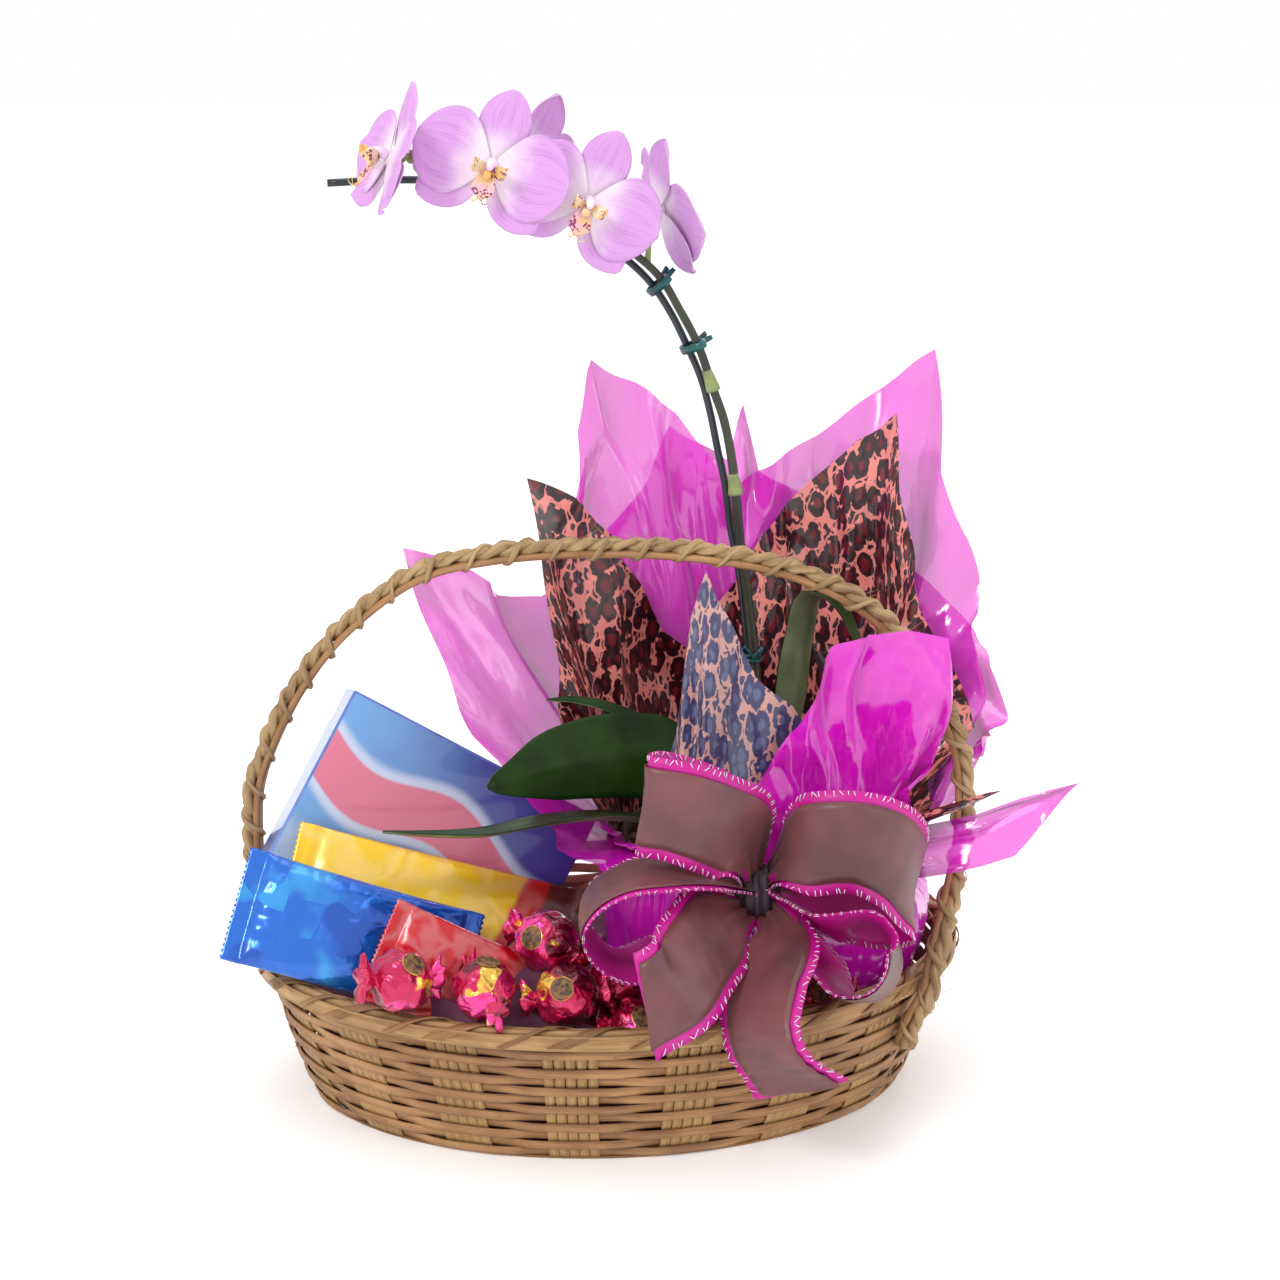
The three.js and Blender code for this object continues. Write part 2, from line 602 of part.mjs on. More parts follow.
/** The five tepals of a bloom, joined at a small hub. */
function bloomBody(bloom) {
  const { cup } = bloom;
  const sepal = { long: BLOOM.sepalLong, half: BLOOM.sepalHalf, lift: -1.6, blunt: 0.85, rows: 3, columns: 2 };
  const petal = { long: BLOOM.petalLong, half: BLOOM.petalHalf, lift: 0.6, blunt: 0.62, rows: 4, columns: 2 };
  const hub = new THREE.SphereGeometry(4.2, 6, 3).scale(1, 1, 0.8).translate(0, 0, -1.2);
  return settled(joined([
    hub,
    ...[90, 218, 322].map((angle) => tepal({ ...sepal, angle, cup: cup - 1 })),
    ...[3, 177].map((angle) => tepal({ ...petal, angle, cup })),
  ]), bloom);
}

/** The lip with its side lobes and the column above it, in front of the hub. */
function lipBody(bloom) {
  const column = new THREE.SphereGeometry(2.8, 5, 3).scale(1, 1.1, 1.7).translate(0, 1, 7.2);
  const lobe = (points) => bladeBody(points.map(list), 0.9);
  const middle = lobe([
    [[-2, -1, 6], [2, -1, 6]], [[-5.5, -9, 9], [5.5, -9, 9]], [[-6.5, -13, 10.5], [6.5, -13, 10.5]],
    [[-1, -18, 11.5], [1, -18, 11.5]],
  ]);
  const sideLobe = (s) => lobe([
    [[s * 0.5, -2.5, 5.5], [s * 0.8, -0.5, 6]], [[s * 7, -5, 9], [s * 7.5, 1, 11]],
    [[s * 8.5, -3, 14.5], [s * 9, 1.5, 15.5]],
  ]);
  return settled(joined([column, middle, sideLobe(-1), sideLobe(1)]), bloom);
}

// Films

/** Azimuths, in degrees about the pot, at which the films and the tie are cut into facets. */
const FILM_AZIMUTHS = [
  0, 18, 30, 37, 46, 58, 70, 82, 87, 92, 110, 122, 133, 138, 142, 151, 163, 170, 179, 186, 194, 213, 224,
  227, 237, 247, 262, 277, 288, 301, 314, 327, 330, 333, 336, 338, 339, 347, 353,
];

/** Top edge of each film: azimuth, edge radius about the pot, edge height and outward bend. */
const FILM_EDGES = {
  leopard_film: [
    [0, 115, 178, 1.6], [18, 91, 250, 1.3], [30, 94.5, 335, 1.3],
    [46, 83, 318, 1.2], [70, 75, 284, 1.2], [82, 72.6, 261, 1.1], [110, 75, 203, 1.1],
    [122, 78, 216, 1.2], [142, 85, 268, 1.2], [151, 88, 281, 1.2], [163, 120, 309, 1.3],
    [170, 108, 246, 1.3], [179, 102, 195, 1.4], [186, 90, 155, 1.4], [194, 76.8, 133.2, 1.2],
    [213, 76.4, 133.2, 1.2], [224, 63, 212, 1.2], [227, 60, 246, 1.2], [237, 59, 279, 1.2],
    [247, 59.5, 256, 1.2], [262, 63, 226, 1.2], [277, 67, 214, 1.2], [301, 70, 172, 1.2],
    [327, 74, 136, 1.3], [330, 77, 138, 1.6], [333, 136, 171, 1.6], [336, 124, 168, 1.6],
    [338, 97, 155, 1.6], [339, 90, 150, 1.6], [347, 90, 154, 1.6], [353, 112, 174, 1.6],
  ],
  cellophane_inner: [
    [0, 112, 167, 1.1], [18, 135, 226, 1.0], [30, 126, 300, 1.0],
    [37, 137, 361, 1.0], [46, 115, 348, 1.0], [58, 97, 325, 1.0], [70, 88, 310, 1.0], [82, 81.5, 298, 1.0],
    [92, 82, 290, 1.0], [110, 87, 330, 1.0], [122, 97, 345, 1.0], [133, 113, 361, 1.0],
    [138, 120, 322, 1.0], [142, 107, 262, 1.0], [151, 95, 205, 1.0], [163, 87, 158, 1.0], [170, 83, 148, 1.1],
    [186, 81, 139, 1.1], [194, 79.4, 133.6, 1.1], [227, 79.4, 136, 1.1], [237, 79, 142, 1.1],
    [247, 79.5, 160, 1.1], [262, 80, 180, 1.1], [277, 79, 206, 1.1], [288, 77, 239, 1.1], [301, 84, 251, 1.1],
    [314, 118, 251, 1.1], [327, 77, 131.5, 1.1], [330, 77, 131.5, 1.1], [333, 79, 132, 1.1],
    [339, 80.5, 134.6, 1.1], [347, 86, 138, 1.1], [353, 107, 160, 1.1],
  ],
  cellophane_outer: [
    [0, 126, 172, 0.95], [18, 143, 202, 0.95], [37, 124, 240, 0.95], [58, 106, 275, 0.95],
    [82, 91, 298, 0.95], [87, 92, 332, 0.95], [92, 92, 303, 0.95], [110, 96, 322, 0.95],
    [122, 106, 288, 0.95], [138, 122, 246, 0.9], [151, 127, 237, 0.9],
    [163, 140, 252, 0.9], [170, 187, 272, 0.9], [179, 152, 202, 0.9],
    [186, 133, 176, 0.9], [194, 118, 142, 0.9], [213, 100, 124.6, 0.9],
    [227, 86, 130.5, 0.9], [247, 83, 138, 0.9], [277, 83.5, 142, 0.9], [301, 84, 137, 0.9],
    [314, 92, 128, 0.9],
    [327, 96, 123, 0.9], [330, 142, 138, 0.9], [333, 160, 163, 0.9], [336, 169, 172, 0.9],
    [338, 99, 146, 0.9], [339, 93, 141, 0.9],
    [347, 96, 143, 0.9], [353, 120, 168, 0.9],
  ],
};
const FILM_LAYER = { leopard_film: 0, cellophane_inner: 1, cellophane_outer: 2 };

/** Edge radius, height and bend at an azimuth, straight between the listed corners. */
function filmEdge(rows, azimuth) {
  let k = rows.length - 1;
  while (rows[k][0] > azimuth) k -= 1;
  const from = rows[k];
  const to = k + 1 < rows.length ? rows[k + 1] : [rows[0][0] + 360, ...rows[0].slice(1)];
  const share = (azimuth - from[0]) / (to[0] - from[0]);
  return [1, 2, 3].map((n) => mix(from[n], to[n], share));
}

/** A point about the pot's axis. */
const aboutPot = (degrees, radius, z) => v3(
  POT.x + radius * Math.cos(degrees * RAD), POT.y + radius * Math.sin(degrees * RAD), z,
);

/** How far a film's flap is turned about the pot to pass in front of the handle's right leg. */
function roundTheLeg(azimuth, radius) {
  const { from, to, near, far, turn } = FLAP;
  if (azimuth < from || azimuth > to) return 0;
  const smooth = (low, high) => THREE.MathUtils.smoothstep(radius, low, high);
  return turn * smooth(near, near + 25) * (1 - 0.8 * smooth(far, far + 40));
}

/** Radii of a film's cup and neck at an azimuth: the cup hangs loose at the basket's right end. */
function cupRadii(azimuth, layer) {
  const away = Math.abs(((azimuth + 10 + 180) % 360) - 180) / 40;
  const loose = Math.exp(-away * away);
  const out = layer * (FILM.pitch + loose);
  return [77 + 11 * loose + out, FILM.tieRadius + 0.6 + layer * FILM.pitch];
}

/** Rings of a film from under the pot up to its cut edge. */
function filmRings(name) {
  const layer = FILM_LAYER[name];
  const lowest = FILM.lowest + (2 - layer) * FILM.pitch;
  const flare = [0.15, 0.55, 1];
  const columns = FILM_AZIMUTHS.map((azimuth) => {
    const [cup, neck] = cupRadii(azimuth, layer);
    const tie = FILM.tieRadius + layer * FILM.pitch;
    const [edgeRadius, edgeZ, bend] = filmEdge(FILM_EDGES[name], azimuth);
    return [
      aboutPot(azimuth, FILM.baseRadius + layer * FILM.pitch, lowest), aboutPot(azimuth, cup, FILM.cupZ),
      aboutPot(azimuth, neck, FILM.neckZ), aboutPot(azimuth, tie, FILM.tieZ),
      ...flare.map((f) => {
        const radius = mix(tie, edgeRadius, f ** bend);
        return aboutPot(azimuth + roundTheLeg(azimuth, radius), radius, mix(FILM.tieZ, edgeZ, f));
      }),
    ];
  });
  return columns[0].map((_, i) => columns.map((column) => column[i]));
}

/** A film as one closed sheet: both faces are cut into the same triangles. */
function filmBody(name) {
  const rings = filmRings(name);
  const normals = gridNormals(rings, true);
  const columns = FILM_AZIMUTHS.length;
  const count = rings.length * columns;
  const face = (sign) => rings.flatMap((ring, i) => ring.map((p, j) => (
    p.clone().addScaledVector(normals[i][j], sign * FILM.thick / 2))));
  const middle = v3(POT.x, POT.y, rings[0][0].z);
  const points = [...face(1), ...face(-1)];
  const lift = Math.abs(points[0].z - rings[0][0].z);
  const up = points[0].z > rings[0][0].z ? 1 : -1;
  const poleA = points.push(middle.clone().add(v3(0, 0, up * lift))) - 1;
  const poleB = points.push(middle.clone().add(v3(0, 0, -up * lift))) - 1;
  const front = gridTriangles(rings.length, columns, true);
  for (let j = 0; j < columns; j += 1) front.push([poleA, (j + 1) % columns, j]);
  const back = front.map(([a, b, c]) => [a, c, b].map((n) => (n === poleA ? poleB : n + count)));
  const triangles = [...front, ...back];
  const last = (rings.length - 1) * columns;
  for (let j = 0; j < columns; j += 1) {
    const a = last + j;
    const b = last + ((j + 1) % columns);
    triangles.push([a, b, b + count], [a, b + count, a + count]);
  }
  return bodyOf(points, triangles);
}

/** The ribbon tied round the gathered films. */
function tieBand() {
  const inner = FILM.tieRadius + 0.6 + 2 * FILM.pitch + FILM.thick / 2 + 0.5;
  return ringBody(FILM_AZIMUTHS.map((azimuth) => [
    aboutPot(azimuth, inner, BAND.bottom), aboutPot(azimuth, inner + BAND.thick, BAND.bottom),
    aboutPot(azimuth, inner + BAND.thick, BAND.top), aboutPot(azimuth, inner, BAND.top),
  ]));
}

// Bow

/** Each loop and tail of the bow: its path, its width directions, the satin's side and the end's slant. */
const BOW = {
  loop_upper_left: {
    path: [[62, -89, 136], [58, -102, 160], [42, -113, 173], [23, -119, 182], [6, -113, 184], [12, -101, 182],
      [39, -92, 169], [62, -84, 138]],
    widths: [[0.4, 0.1, 0.85], [0.25, 0.05, 1], [0.12, 0, 1], [0.4, 0.1, 0.85]], satin: -1, slant: 0,
  },
  loop_lower_left: {
    path: [[61, -89, 131], [38, -100, 144], [16, -108, 148], [-2, -111, 147], [-17, -111, 138], [-23, -111, 127],
      [-19, -112, 114], [-3, -109, 103], [20, -97, 107], [42, -81, 121], [58, -79, 131]],
    widths: [[-0.1, -1, 0.1], [-0.1, -1, 0.02], [-0.1, -1, 0.02], [0, -1, 0]], satin: 1, slant: 0,
  },
  loop_upper_right: {
    path: [[71, -87, 136], [78, -102, 154], [91, -113, 162], [112, -116, 162], [133, -106, 148], [141, -90, 126],
      [128, -81, 120], [106, -78, 125], [72, -82, 133]],
    widths: [[0.3, 0.2, 0.9], [0.2, 0.15, 0.95], [0.2, 0.25, 0.95], [0.15, 0.3, 0.93]], satin: 1, slant: 0,
  },
  loop_lower_right: {
    path: [[73, -89, 127], [84, -105, 123], [94, -117, 121], [103, -122, 124], [113, -122, 125], [123, -121, 118],
      [127, -124, 108], [123, -130, 98], [113, -134, 91], [102, -130, 90], [93, -114, 97], [84, -94, 106],
      [75, -87, 121]],
    widths: [[0.5, 0.3, -0.6], [0.33, 0.8, -0.48], [0.3, 0.85, -0.35], [0.5, 0.5, 0.2]], satin: 1, slant: 0,
  },
  tail_left: {
    path: [[61, -91, 121], [43, -113, 121], [32, -129, 116], [19, -146, 106], [3, -152, 98]],
    widths: [[0.7, 0, -0.65], [0.76, 0, -0.65], [0.76, 0, -0.65]], satin: 1, slant: 8,
  },
  tail_centre: {
    path: [[69, -91, 122], [73, -105, 117], [70, -119, 111], [62, -133, 99], [58, -147, 85], [61, -155, 72],
      [77, -158, 55]],
    widths: [[0.6, -0.8, 0], [0.55, -0.83, 0], [0.8, -0.5, 0.3]], satin: 1, slant: 8,
  },
};
const KNOT = { at: [65, -88, 129], half: [11.5, 9, 12.5] };

/** The knot that holds loops and tails, grown by a margin where it cuts them clear. */
function bowKnot(margin = 0) {
  const [x, y, z] = KNOT.half.map((half) => half + margin);
  return new THREE.SphereGeometry(1, 8, 5).scale(x, y, z).translate(...KNOT.at);
}

/** A strip of ribbon along a bow path, offset to one side of it and gathered at the knot. */
function ribbonStrip(name, offset) {
  const { path, widths, slant } = BOW[name];
  const steps = path.length + 1;
  const curve = new THREE.CatmullRomCurve3(list(path), false, 'centripetal');
  const widthCurve = new THREE.CatmullRomCurve3(list(widths));
  const grid = [];
  const normals = [];
  for (let i = 0; i <= steps; i += 1) {
    const k = i / steps;
    const tangent = curve.getTangentAt(k);
    const width = widthCurve.getPoint(k);
    width.addScaledVector(tangent, -width.dot(tangent)).normalize();
    const normal = tangent.clone().cross(width);
    const fromKnot = slant === 0 ? Math.min(k, 1 - k) / RIBBON.gather : k / RIBBON.tailGather;
    const share = mix(0.2, 1, Math.min(1, fromKnot));
    const centre = curve.getPointAt(k).addScaledVector(normal, offset);
    grid.push([-1, 1].map((t) => centre.clone().addScaledVector(width, t * RIBBON.half * share)
      .addScaledVector(tangent, t * slant * k)));
    normals.push([normal, normal]);
  }
  return cutBy(bladeBody(grid, RIBBON.thick, normals), [bowKnot(GAP)]);
}

// Sweets

/** A flow pack: a pillow with flat crimped ends, seen face on along its own -Z. */
function flowPack(long, high, thick, margin = 0) {
  const ends = [0, 0.07, 0.12, 0.3, 0.5, 0.7, 0.88, 0.93, 1];
  const across = [0, 0.2, 0.5, 0.8, 1];
  const height = (k, t) => {
    const crimped = k < 0.1 || k > 0.9;
    const swell = Math.sin(Math.PI * Math.min(1, Math.max(0, (k - 0.07) / 0.86))) ** 0.45;
    const bulge = (1 - (2 * t - 1) ** 2) ** 0.6;
    return (crimped ? 0.6 : Math.max(0.6, thick / 2 * swell * bulge)) + margin;
  };
  const spread = 1 + 2 * margin / high;
  const reach = 1 + 2 * margin / long;
  const side = (sign) => ends.map((k) => across.map((t) => (
    v3((k - 0.5) * long * reach, (0.5 - t) * high * spread, sign * height(k, t)))));
  return facesBody(side(1), side(-1));
}

/** A twist-wrapped bonbon along X: a round body with a flared twist at each end. */
function bonbonBody(margin = 0) {
  const profile = [
    [0, -20 - 2 * margin], [7.5 + margin, -22 - margin], [2.4 + margin, -14], [10.5 + margin, -8],
    [13 + margin, 0], [10.5 + margin, 8], [2.4 + margin, 14], [7.5 + margin, 22 + margin], [0, 20 + 2 * margin],
  ];
  return lathed(profile, 6).rotateY(Math.PI / 2);
}

/** Places a face-on pack by its top left corner, the slope of its top edge and how far it leans back. */
function leaning({ corner, slope, lean }, long, high, thick) {
  const [c, s] = [Math.cos(slope * RAD), Math.sin(slope * RAD)];
  const [cl, sl] = [Math.cos(lean * RAD), Math.sin(lean * RAD)];
  const along = v3(c, 0, -s);
  const down = v3(-s * cl, -sl, -c * cl);
  const back = along.clone().cross(down).normalize();
  const centre = v3(...corner).addScaledVector(along, long / 2).addScaledVector(down, high / 2)
    .addScaledVector(back, thick / 2);
  return new THREE.Matrix4().makeBasis(along, down.clone().negate(), back.clone().negate()).setPosition(centre);
}

const PACKS = {
  yellow_bar: { size: [156, 58, 11], stance: { corner: [-156, -5, 145], slope: 16.7, lean: 34 }, colour: 'yellow' },
  blue_pack: { size: [122, 58, 22], stance: { corner: [-179, -43, 147], slope: 19.5, lean: 33 }, colour: 'blue' },
  red_pack: { size: [108, 52, 14], stance: { corner: [-108, -75, 127], slope: 27, lean: 22 }, colour: 'red' },
};
const CARTON_STANCE = { corner: [-128, 30, 202], slope: 30.6, lean: 16 };
const BONBONS = [
  { at: [-110, -103, 96], yaw: 28, pitch: 12 },
  { at: [-70, -106, 91], yaw: -75, pitch: 5 },
  { at: [-30, -107, 86], yaw: -10, pitch: -8 },
  { at: [-38, -78, 103], yaw: -40, pitch: 10 },
  { at: [-2, -83, 84], yaw: 170, pitch: 0 },
  { at: [5, -107, 68], yaw: 0, pitch: 6 },
  { at: [58, -100, 76], yaw: -5, pitch: -5 },
  { at: [95, -83, 66], yaw: 5, pitch: 0 },
];

/** A bonbon moved to its place. */
function settledBonbon({ at, yaw, pitch }, margin = 0) {
  return bonbonBody(margin).rotateY(pitch * RAD).rotateZ(yaw * RAD).translate(...at);
}

/** Height of the crumpled paper at a point: it rises under the sweets. */
function bedHeight(x, y) {
  const spots = [
    ...BONBONS.map(({ at }) => [at[0], at[1], at[2] - 9]),
    [-122, -45, 84], [-75, -60, 82], [-120, 20, 84], [-60, 30, 62], [-100, 70, 58], [0, 80, 45], [90, 100, 40],
    [165, 20, 40], [-20, 0, 60], [60, -80, 58], [140, -50, 45],
  ];
  let total = 0;
  let weights = 0;
  for (const [sx, sy, height] of spots) {
    const weight = 1 / (((x - sx) ** 2 + (y - sy) ** 2) ** 1.5 + 300);
    total += weight * height;
    weights += weight;
  }
  return total / weights;
}

/** Crumpled paper under the sweets, cut clear of them and of the wrapped pot. */
function packingBed() {
  const steps = 18;
  const shares = [1, 0.74, 0.42];
  const low = BASKET.floorThick + GAP;
  const loop = (share, inset, lift) => Array.from({ length: steps }, (_, i) => {
    const angle = i / steps * 2 * Math.PI;
    const rim = ovalPoint(angle, inset, -BASKET.wallThick - 4);
    const [x, y] = [rim.x * share, rim.y * share];
    const crumple = share < 1 ? 2.5 * Math.sin(i * 2.1 + share * 9) : 0;
    return v3(x, y, lift ? Math.min(bedHeight(x, y) + crumple, share === 1 ? 62 : 200) : low);
  });
  const heap = sweptBody([loop(1, 0, false), ...shares.map((share) => loop(share, 50, true))]);
  const cup = lathed([
    [0, -1], [64, -1], [86, 60], [89, 95], [86, 115], [86, 140], [0, 140],
  ], 14).scale(1.07, 0.95, 1).translate(POT.x + 4, POT.y, 0);
  const packs = Object.values(PACKS).map(({ size, stance }) => (
    flowPack(...size, 0.5).applyMatrix4(leaning(stance, ...size))));
  const carton = new THREE.BoxGeometry(CARTON.long + 1, CARTON.high + 1, CARTON.thick + 1)
    .applyMatrix4(leaning(CARTON_STANCE, CARTON.long, CARTON.high, CARTON.thick));
  return cutBy(heap, [cup, carton, ...packs, ...BONBONS.map((one) => settledBonbon(one, 0.5))]);
}

// Assembly

place('basket_wall', basketWall(), COLOURS.bamboo);
place('basket_floor', basketFloor(), COLOURS.bamboo);
place('rim_braid', rimBraid(), COLOURS.bamboo);
place('handle_hoop', handleHoop(), COLOURS.bamboo);
place('handle_rope', handleRope(), COLOURS.straw, 0.9);

place('nursery_pot', nurseryPot(), COLOURS.pot, 0.5);
place('potting_bark', cutBy(pottingBark(), [crownBody(GAP), supportWire(GAP)]), COLOURS.bark, 0.95);
place('orchid_crown', orchidCrown(), COLOURS.leaf);
for (const [name, leaf] of Object.entries(LEAVES)) place(name, leafBlade(leaf), COLOURS.leaf, 0.4);

place('flower_spike', flowerSpike(), COLOURS.spike, 0.5);
place('support_wire', supportWire(), COLOURS.wire, 0.35, 0.4);
for (const [name, held] of Object.entries(CLIPS)) place(name, clip(held), COLOURS.clip, 0.5);
place('wire_tie', wireTie(), COLOURS.clip, 0.5);

BLOOMS.forEach((bloom, i) => {
  place(`bloom_${i + 1}`, bloomBody(bloom), COLOURS.petal, 0.6);
  place(`lip_${i + 1}`, lipBody(bloom), COLOURS.lip, 0.6);
});

place('leopard_film', filmBody('leopard_film'), COLOURS.leopard, 0.3);
place('cellophane_inner', filmBody('cellophane_inner'), COLOURS.cellophane, 0.15);
place('cellophane_outer', filmBody('cellophane_outer'), COLOURS.cellophane, 0.15);
place('tie_band', tieBand(), COLOURS.sheer, 0.3);
place('bow_knot', bowKnot(), COLOURS.satin, 0.45);
for (const [name, { satin }] of Object.entries(BOW)) {
  const satinSide = satin * RIBBON.spacing / 2;
  place(`${name}_satin`, ribbonStrip(name, satinSide), COLOURS.satin, 0.45);
  place(`${name}_sheer`, ribbonStrip(name, -satinSide), COLOURS.sheer, 0.3);
}

place('packing_bed', packingBed(), COLOURS.paper, 0.9);
const carton = new THREE.BoxGeometry(CARTON.long, CARTON.high, CARTON.thick)
  .applyMatrix4(leaning(CARTON_STANCE, CARTON.long, CARTON.high, CARTON.thick));
place('assortment_box', carton, COLOURS.carton, 0.25);
for (const [name, { size, stance, colour }] of Object.entries(PACKS)) {
  place(name, flowPack(...size).applyMatrix4(leaning(stance, ...size)), COLOURS[colour], 0.25);
}
BONBONS.forEach((bonbon, i) => place(`bonbon_${i + 1}`, settledBonbon(bonbon), COLOURS.foil, 0.2, 0.6));

export default orchidBasket;
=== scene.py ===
"""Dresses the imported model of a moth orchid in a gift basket.

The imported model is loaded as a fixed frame, and every part that shows gets a detailed piece in its place:
woven basket, roped handle, plant, films, bow and sweets. Lengths in the tables and in the mesh code are
millimetres, and a mesh turns them into metres as it is made. +Z is up and -Y is the front.
"""

import logging
import math
import random
from dataclasses import dataclass, field
from enum import Enum
from functools import cache
from typing import Callable, Iterable, Sequence

import bmesh
import bpy
from bpy.types import Material, Node, NodeSocket, NodeTree
from mathutils import Matrix, Vector, noise

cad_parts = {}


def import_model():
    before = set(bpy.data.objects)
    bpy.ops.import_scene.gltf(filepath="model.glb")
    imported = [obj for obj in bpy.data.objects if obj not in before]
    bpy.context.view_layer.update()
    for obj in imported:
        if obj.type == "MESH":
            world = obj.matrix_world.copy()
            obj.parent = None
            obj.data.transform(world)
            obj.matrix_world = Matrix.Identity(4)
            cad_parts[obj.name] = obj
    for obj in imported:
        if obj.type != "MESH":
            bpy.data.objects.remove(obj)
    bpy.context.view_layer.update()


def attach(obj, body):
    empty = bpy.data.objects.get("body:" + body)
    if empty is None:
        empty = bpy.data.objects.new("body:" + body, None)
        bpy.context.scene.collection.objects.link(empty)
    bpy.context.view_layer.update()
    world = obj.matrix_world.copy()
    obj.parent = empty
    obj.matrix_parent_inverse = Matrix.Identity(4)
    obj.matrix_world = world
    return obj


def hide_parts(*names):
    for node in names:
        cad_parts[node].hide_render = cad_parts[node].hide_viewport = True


log = logging.getLogger("orchid_basket")

MM = 0.001
TAU = 2 * math.pi


# Small sums


def mix(a: float, b: float, k: float) -> float:
    """The value that lies k of the way from a to b."""
    return a + (b - a) * k


def clamp(x: float, low: float = 0.0, high: float = 1.0) -> float:
    """x held between low and high."""
    return max(low, min(high, x))


def ease(x: float, low: float = 0.0, high: float = 1.0) -> float:
    """A smooth step from 0 at low to 1 at high."""
    k = clamp((x - low) / (high - low))
    return k * k * (3 - 2 * k)


def ripple(x: float, y: float = 0.0, z: float = 0.0) -> float:
    """Smooth noise from about -1 to 1 at a point."""
    return noise.noise(Vector((x, y, z))) * 1.6


def vectors(rows: Iterable[Sequence[float]]) -> list[Vector]:
    """Rows of three numbers as vectors."""
    return [Vector(row) for row in rows]


def spline(points: Sequence[Vector], per: int = 12) -> list[Vector]:
    """A smooth line through the points.

    Args:
        points: The points that the line passes through.
        per: How many samples each stretch gets.

    Returns:
        Points along a centripetal Catmull-Rom curve.
    """
    ends = [points[0] * 2 - points[1], *points, points[-1] * 2 - points[-2]]
    line: list[Vector] = []
    for n in range(1, len(ends) - 2):
        p = ends[n - 1 : n + 3]
        t = [0.0]
        for a, b in zip(p, p[1:]):
            t.append(t[-1] + max((b - a).length, 1e-4) ** 0.5)
        for s in range(per):
            x = mix(t[1], t[2], s / per)
            a1 = p[0].lerp(p[1], (x - t[0]) / (t[1] - t[0]))
            a2 = p[1].lerp(p[2], (x - t[1]) / (t[2] - t[1]))
            a3 = p[2].lerp(p[3], (x - t[2]) / (t[3] - t[2]))
            b1 = a1.lerp(a2, (x - t[0]) / (t[2] - t[0]))
            b2 = a2.lerp(a3, (x - t[1]) / (t[3] - t[1]))
            line.append(b1.lerp(b2, (x - t[1]) / (t[2] - t[1])))
    line.append(points[-1].copy())
    return line


def spaced(line: Sequence[Vector], steps: int) -> list[Vector]:
    """The line again as steps + 1 points at equal distances along it."""
    reach = [0.0]
    for a, b in zip(line, line[1:]):
        reach.append(reach[-1] + (b - a).length)
    out, k = [], 0
    for n in range(steps + 1):
        want = reach[-1] * n / steps
        while k < len(line) - 2 and reach[k + 1] < want:
            k += 1
        share = (want - reach[k]) / max(reach[k + 1] - reach[k], 1e-9)
        out.append(line[k].lerp(line[k + 1], clamp(share)))
    return out


@dataclass
class Frame:
    """A point on a path, with the way it runs and two directions across it."""

    at: Vector
    tangent: Vector
    across: Vector
    other: Vector


def frames_along(line: Sequence[Vector], hint: Vector) -> list[Frame]:
    """Frames at every point of a line that turn as little as they can.

    Args:
        line: The points of the line.
        hint: Roughly the direction of the first frame's across.

    Returns:
        One frame for each point.
    """
    out: list[Frame] = []
    across = hint.copy()
    for n, at in enumerate(line):
        tangent = (line[min(n + 1, len(line) - 1)] - line[max(n - 1, 0)]).normalized()
        across = (across - tangent * across.dot(tangent)).normalized()
        out.append(Frame(at, tangent, across, tangent.cross(across)))
    return out


# Meshes in the making


Rows = Sequence[Sequence[Vector]]

TUBE_ACROSS = Vector((0.2, 1, 0.1))


def circle(count: int) -> list[float]:
    """Angles spaced evenly round a circle."""
    return [j / count * TAU for j in range(count)]


